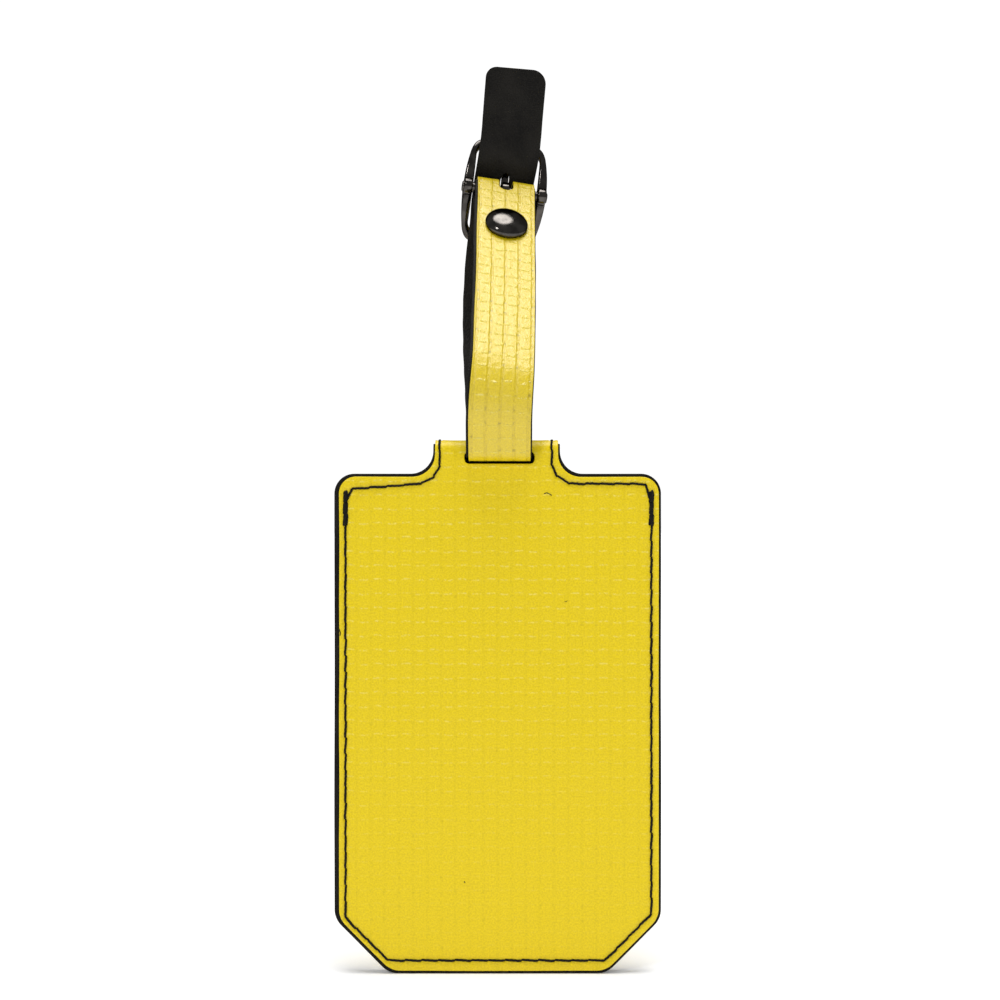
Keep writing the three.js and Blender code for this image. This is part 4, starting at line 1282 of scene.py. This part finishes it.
def bartack(side, name, place):
    """Several rows of stitches sewn over each other, with a short loose end."""
    (x, low), (_, high) = bartack_line(side)
    chance = random.Random(40 + side)
    parts = []
    for offset, proud in TACK_ROWS:
        start = low + chance.uniform(-0.5, 0.3)
        end = high + chance.uniform(-0.3, 0.1)
        steps = max(2, round((end - start) / TACK_STITCH))
        heights = [start + (end - start) * k / steps for k in range(steps + 1)]
        holes = [(x + offset + chance.uniform(-0.06, 0.06), z) for z in heights]
        seed = chance.random()
        parts += stitches(holes, place, seed, radius=TACK_THREAD_RADIUS, proud=proud, slant=0.05)
    loop = [(x + 0.25 * math.cos(a) + 0.1, low + 1.6 + 0.75 * math.sin(a)) for a in np.linspace(0, 5.6, 22)]
    rise = 0.3 + 0.12 * np.sin(np.linspace(0, 6, 22))
    flat = np.array(loop)
    centres = place(flat[:, 0], flat[:, 1], -rise)
    above = place(flat[:, 0], flat[:, 1], -rise - 1)
    parts.append(thread(centres, above, 0.24))
    return make_piece(f"bartack_stitches_{name}", "thread", *joined(parts), nodes=[f"bartack_{name}"])


def fibre(points, radius=0.06):
    """A loose fibre lying on the front panel, through points (x, z)."""
    flat = np.array(points, float)
    t = np.linspace(0, len(flat) - 1, 6 * len(flat))
    x = np.interp(t, range(len(flat)), flat[:, 0])
    z = np.interp(t, range(len(flat)), flat[:, 1])
    place = over_fold(FOLD_RADIUS)
    centres = place(x, z, np.full(len(t), -0.06))
    above = place(x, z, np.full(len(t), -1.0))
    return tube(centres, above - centres, radius, sides=6)


def loose_fibres():
    """Three bits of black lint on the front, and a fibre that pokes out over the left edge."""
    parts = [
        fibre([(10.2, 105.7), (10.8, 105.9), (11.4, 105.6), (11.9, 105.3)], 0.09),
        fibre([(-7.4, 20.4), (-7.2, 20.1)], 0.11),
        fibre([(14.7, 82.0), (15.1, 81.9), (15.3, 82.2)], 0.05),
        fibre([(-35.0, 76.0), (-34.6, 75.2), (-34.7, 74.4)], 0.1),
    ]
    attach(make_piece("loose_fibres", "thread", *joined(parts)), "tag")


def strap_pieces():
    holes = strap_holes()
    outline = strap_outline(STRAP_HALF, STRAP_HALF, 51)
    made = sheet_mesh(outline, holes, course.place(TARP_OUTER), TARP, STRAP_MESH)
    nodes = ["strap_face"]
    face = make_piece("strap_tarpaulin", "tarpaulin", *made, nodes=nodes, material="strap_tarpaulin")
    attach(face, "strap")
    outline = strap_outline(STRAP_LINING_LEFT, STRAP_LINING_RIGHT, 52)
    made = sheet_mesh(outline, holes, course.place(-TARP_INNER), LINING, STRAP_MESH)
    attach(make_piece("strap_backing", "lining", *made, nodes=["strap_lining"]), "strap")


def window_rise(points):
    """How far the clear window stands off the lining: flat at its sewn rim, and raised over the card."""
    half = BODY_WIDTH / 2 - CARD_ROOM_EDGE
    low = CARD_ROOM_EDGE
    room = [(-half, 2 * POCKET_TOP), (-half, low + CHAMFER), (-half + CHAMFER, low)]
    room += [(-x, z) for x, z in reversed(room)]
    gap = line_distance(points, room)
    gap[~inside(points, room)] = 0
    share = np.clip(gap / WINDOW_RISE_RUN, 0, 1)
    return CARD_ROOM * share**2 * (3 - 2 * share)


def pocket_pieces():
    right_side, left_side = body_corners(POCKET_EDGE)
    right_side[-1] = (right_side[-1][0], POCKET_TOP, POCKET_CORNER)
    left_side[0] = (left_side[0][0], POCKET_TOP, POCKET_CORNER)
    outline = rounded_outline(right_side + left_side)
    rim = INNER_FACE - PLY_GAP

    def place(u, v, depth):
        rise = window_rise(np.stack([u, v], axis=1))
        return np.stack([u, -rim + CLEAR_SHEET - depth + rise, v], axis=1)

    fine = [(x, z) for z in np.arange(5, POCKET_TOP, WINDOW_POINT_GAP) for x in WINDOW_FOLDS]
    made = sheet_mesh(outline, [], place, CLEAR_SHEET, WINDOW_MESH, fine)
    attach(make_piece("pocket_window_sheet", "clear_sheet", *made, nodes=["pocket_window"]), "tag")


def card_piece():
    half = CARD_WIDTH / 2
    front = -INNER_FACE + PLY_GAP + (CARD_ROOM - CARD_THICKNESS) / 2
    corners = [(-half, CARD_Z), (half, CARD_Z), (half, CARD_Z + CARD_HEIGHT), (-half, CARD_Z + CARD_HEIGHT)]
    outline = rounded_outline([(x, z, CARD_RADIUS) for x, z in corners])
    made = sheet_mesh(outline, [], on_back(front + CARD_THICKNESS), CARD_THICKNESS, CARD_MESH)
    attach(make_piece("address_card_paper", "card", *made, nodes=["address_card"]), "card")


# Metal pieces.


def moved(part, turn, origin):
    """A part turned about its own origin, which is then put at another place."""
    points, faces = part
    matrix = np.array(turn.to_matrix())
    return np.asarray(points) @ matrix.T + np.array(origin), faces


def along_x(part):
    """A part turned about Z laid along X."""
    points, faces = part
    return points[:, [2, 0, 1]], faces


def rounded_profile(corners, steps=5):
    """A lathe's profile through (radius, height, rounding), rounded where it turns."""
    profile = []
    for i, (r, z, rounding) in enumerate(corners):
        if rounding == 0:
            profile.append((r, z))
            continue
        here = Vector((r, z))
        back = (Vector(corners[i - 1][:2]) - here).normalized() * rounding
        ahead = (Vector(corners[(i + 1) % len(corners)][:2]) - here).normalized() * rounding
        for k in range(steps + 1):
            t = k / steps
            point = (here + back) * (1 - t) ** 2 + here * (2 * t * (1 - t)) + (here + ahead) * t**2
            profile.append(tuple(point))
    return profile


def quadratic(a, b, c, steps=8):
    """A curve from a towards c, pulled to b. The last point is left to whatever follows."""
    ts = [k / steps for k in range(steps)]
    return [tuple(Vector(a) * (1 - t) ** 2 + Vector(b) * 2 * t * (1 - t) + Vector(c) * t**2) for t in ts]


def cubic(a, b, c, d, steps=24):
    """A curve from a towards d, pulled to b and c. The last point is left to whatever follows."""
    a, b, c, d = (Vector(p) for p in (a, b, c, d))
    ts = [k / steps for k in range(steps)]
    return [
        tuple(a * (1 - t) ** 3 + b * 3 * t * (1 - t) ** 2 + c * 3 * t**2 * (1 - t) + d * t**3) for t in ts
    ]


def frame_outline():
    """The buckle frame's outer line: straight ends, rounded corners and bowed sides."""
    low = FRAME_HALF_LENGTH
    foot = low - FRAME_CORNER_RISE
    flat = FRAME_END_HALF_WIDTH - FRAME_CORNER_RUN
    corner = FRAME_END_HALF_WIDTH + FRAME_CORNER_PULL
    shoulder = FRAME_END_HALF_WIDTH + FRAME_SHOULDER
    side = FRAME_HALF_WIDTH + FRAME_SIDE_PULL
    right = [(flat * k / 6, -low) for k in range(6)]
    right += quadratic((flat, -low), (corner, -low), (shoulder, -foot))
    right += cubic((shoulder, -foot), (side, -foot / 3), (side, foot / 3), (shoulder, foot))
    right += quadratic((shoulder, foot), (corner, low), (flat, low))
    right += [(flat * (6 - k) / 6, low) for k in range(6)]
    return right + [(-x, -z) for x, z in right]


def reach(loop, angle):
    """How far a closed line round the origin is from it, at an angle."""
    ahead = np.array([math.cos(angle), math.sin(angle)])
    a = np.asarray(loop, float)
    b = np.roll(a, -1, axis=0)
    run = b - a
    scale = ahead[0] * run[:, 1] - ahead[1] * run[:, 0]
    scale[np.abs(scale) < 1e-12] = 1e-12
    distance = (a[:, 0] * run[:, 1] - a[:, 1] * run[:, 0]) / scale
    share = (a[:, 0] * ahead[1] - a[:, 1] * ahead[0]) / scale
    hits = distance[(share >= -1e-6) & (share <= 1 + 1e-6) & (distance > 0)]
    return float(hits.max())


def squarish(turn, exponent):
    """A round section's cosine and sine, drawn out towards a rectangle's by an exponent below 1."""
    wide = math.copysign(abs(math.cos(turn)) ** exponent, math.cos(turn))
    deep = math.copysign(abs(math.sin(turn)) ** exponent, math.sin(turn))
    return wide, deep


def frame_ring(sides=20):
    """The buckle's frame: a barrel-shaped rod round a rectangular window, whose ends stand back."""
    outer = frame_outline()
    z = FRAME_HALF_LENGTH - END_BAR
    x = WINDOW_HALF_WIDTH
    corners = ((-x, -z), (x, -z), (x, z), (-x, z))
    window = rounded_outline([(cx, cz, WINDOW_CORNER) for cx, cz in corners])
    angles = sorted({round(math.atan2(p[1], p[0]), 5) for p in outer + resampled(window, 0.7)})
    rows = []
    for angle in angles:
        ahead = np.array([math.cos(angle), math.sin(angle)])
        inner_reach = reach(window, angle)
        outer_reach = reach(outer, angle)
        for k in range(sides):
            wide, deep = squarish(2 * math.pi * k / sides, FRAME_SECTION)
            r = (inner_reach + outer_reach) / 2 + wide * (outer_reach - inner_reach) / 2
            px, pz = ahead * r
            bow = FRAME_BOW * (pz / FRAME_HALF_LENGTH) ** 2
            rows.append([px, bow + deep * FRAME_THICKNESS / 2, pz])
    count = len(angles)
    faces = grid_faces(count, sides, closed=True)
    last = (count - 1) * sides
    faces += [[last + i, last + (i + 1) % sides, (i + 1) % sides, i] for i in range(sides)]
    return np.array(rows), faces


def boss(side):
    """The round lug on the frame's side, which the bar goes through."""
    middle = side * (WINDOW_HALF_WIDTH + FRAME_HALF_WIDTH) / 2
    near = middle - BOSS_LENGTH / 2
    far = middle + BOSS_LENGTH / 2
    hole = BAR_RADIUS + CLEARANCE
    profile = [
        (hole, near, 0.15),
        (BOSS_RADIUS, near, 0.45),
        (BOSS_RADIUS, far, 0.45),
        (hole, far, 0.15),
    ]
    return along_x(lathe(rounded_profile(profile)))


def buckle_pieces():
    parts = [frame_ring(), boss(-1), boss(1)]
    piece = make_metal("buckle_frame_metal", parts, BUCKLE_TURN, BAR_CENTRE, "buckle_frame")
    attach(piece, "buckle")
    half = BAR_LENGTH / 2
    profile = [(0, -half, 0), (BAR_RADIUS, -half, 0.35), (BAR_RADIUS, half, 0.35), (0, half, 0)]
    bar = along_x(lathe(rounded_profile(profile)))
    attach(make_metal("centre_bar_metal", [bar], BUCKLE_TURN, BAR_CENTRE, "centre_bar"), "buckle")
    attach(make_metal("prong_metal", prong_parts(), BUCKLE_TURN, BAR_CENTRE, "prong"), "prong")


def prong_parts():
    """An eye round the bar, and a tongue that narrows to a round tip."""
    half = PRONG_WIDTH / 2
    hole = BAR_RADIUS + CLEARANCE
    profile = [(hole, -half, 0.15), (PRONG_EYE, -half, 0.3), (PRONG_EYE, half, 0.3), (hole, half, 0.15)]
    eye = along_x(lathe(rounded_profile(profile)))
    tongue = moved(prong_tongue(), turn_about((1, 0, 0), -PRONG_ANGLE), (0, 0, 0))
    return [eye, tongue]


def prong_tongue(sides=16):
    """The prong's tongue, straight up from the bar's middle."""
    half = PRONG_WIDTH / 2
    middle = (BAR_RADIUS + CLEARANCE + PRONG_EYE) / 2
    tip = PRONG_LENGTH - PRONG_TIP
    stops = list(np.linspace(1.2, tip, 16))
    stops += [PRONG_LENGTH - PRONG_TIP * (1 - math.sin(a)) for a in (0.4, 0.8, 1.2, 1.5)]
    points = []
    for z in stops:
        left = max(0.0, 1 - ((z - tip) / PRONG_TIP) ** 2) if z > tip else 1.0
        round_off = math.sqrt(max(left, 0.02))
        narrow = (1 - PRONG_TAPER * (z / PRONG_LENGTH) ** 2) * round_off
        thick = PRONG_THICKNESS / 2 * (0.35 + 0.65 * round_off)
        for k in range(sides):
            wide, deep = squarish(2 * math.pi * k / sides, PRONG_SECTION)
            points.append([wide * half * narrow, middle + deep * thick, z])
    faces = grid_faces(len(stops), sides, closed=True)
    faces.append(list(range(sides))[::-1])
    faces.append([(len(stops) - 1) * sides + i for i in range(sides)])
    return np.array(points), faces


def make_metal(name, parts, turn, origin, node):
    placed = [moved(part, turn, origin) for part in parts]
    return make_piece(name, "gunmetal", *joined(placed), nodes=[node])


def dome(radius, height, foot, steps=14):
    """A low dome's profile, from its foot's edge to its top."""
    turns = [math.pi / 2 * k / steps for k in range(steps)]
    side = [(radius * math.cos(a), foot + height * math.sin(a)) for a in turns]
    return side + [(0, foot + height)]


def rivet_pieces():
    """A domed cap on the front, and a flatter base with its post behind."""
    foot = TARP_OUTER + RIVET_SEAT
    rim = RIVET_CAP_RADIUS
    cap = [(0, foot), (rim - 0.3, foot), (rim - 0.08, foot + 0.1), *dome(rim, RIVET_DOME, foot + RIVET_RIM)]
    origin = on_strand(RIVET_FROM_BAR, 0)
    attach(make_metal("rivet_cap_metal", [lathe(cap, 64)], STRAND_TURN, origin, "rivet_cap"), "strap")
    far = -CLOSED_PITCH - TARP_OUTER - RIVET_SEAT
    base = [(r, far - z) for r, z in dome(RIVET_BACK_RADIUS, RIVET_BACK_DOME, RIVET_RIM)][::-1]
    base += [(RIVET_BACK_RADIUS, far - 0.1), (RIVET_BACK_RADIUS - 0.1, far), (RIVET_POST_RADIUS, far)]
    base += [(RIVET_POST_RADIUS, foot), (0, foot)]
    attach(make_metal("rivet_post_metal", [lathe(base, 64)], STRAND_TURN, origin, "rivet_post"), "strap")


# Studio.


def add_floor():
    z = cad_box[0].z
    corners = [(-FLOOR_HALF, -FLOOR_HALF, z), (FLOOR_HALF, -FLOOR_HALF, z)]
    corners += [(FLOOR_HALF, FLOOR_HALF, z), (-FLOOR_HALF, FLOOR_HALF, z)]
    mesh = bpy.data.meshes.new("floor")
    mesh.from_pydata(corners, [], [(0, 1, 2, 3)])
    floor = bpy.data.objects.new("floor", mesh)
    bpy.context.scene.collection.objects.link(floor)
    n = Nodes("floor")
    n.set(Base_Color=(0.93, 0.93, 0.93, 1), Roughness=0.8)
    n.set(Specular_IOR_Level=0.1)
    n.set(Emission_Color=(1, 1, 1, 1))
    n.set(Emission_Strength=0.12)
    mesh.materials.append(n.material)


def add_world():
    """White behind everything, and a dimmer light from all round."""
    world = bpy.data.worlds.new("studio")
    bpy.context.scene.world = world
    world.use_nodes = True
    tree = world.node_tree
    background = tree.nodes["Background"]
    background.inputs["Color"].default_value = (1, 1, 1, 1)
    rays = tree.nodes.new("ShaderNodeLightPath")
    brightness = tree.nodes.new("ShaderNodeMapRange")
    tree.links.new(rays.outputs["Is Camera Ray"], brightness.inputs["Value"])
    brightness.inputs["To Min"].default_value = 0.3
    brightness.inputs["To Max"].default_value = 1.05
    tree.links.new(brightness.outputs[0], background.inputs["Strength"])


def add_lamp(name, direction, strength, angle):
    light = bpy.data.lights.new(name, "SUN")
    light.energy = strength
    light.angle = math.radians(angle)
    lamp = bpy.data.objects.new(name, light)
    lamp.rotation_mode = "QUATERNION"
    lamp.rotation_quaternion = Vector(direction).to_track_quat("Z", "Y")
    bpy.context.scene.collection.objects.link(lamp)


def add_camera():
    data = bpy.data.cameras.new("camera")
    data.sensor_width = 36
    data.lens = 36 * CAMERA_DISTANCE / VIEW_WIDTH
    camera = bpy.data.objects.new("camera", data)
    camera.location = in_frame([CAMERA_X, -FOLD_RADIUS - CAMERA_DISTANCE, CAMERA_Z])
    camera.rotation_euler = (math.pi / 2, 0, 0)
    bpy.context.scene.collection.objects.link(camera)
    bpy.context.scene.camera = camera


def studio():
    bpy.context.scene.view_settings.view_transform = "Standard"
    add_floor()
    add_world()
    add_lamp("overhead", (0.04, -0.08, 1), strength=2.9, angle=36)
    add_lamp("front", (-0.5, -1, 0.75), strength=0.6, angle=8)
    add_camera()


front_pieces()
front_stitches()
cover_pieces()
pocket_pieces()
card_piece()
loose_fibres()
strap_pieces()
buckle_pieces()
rivet_pieces()
studio()
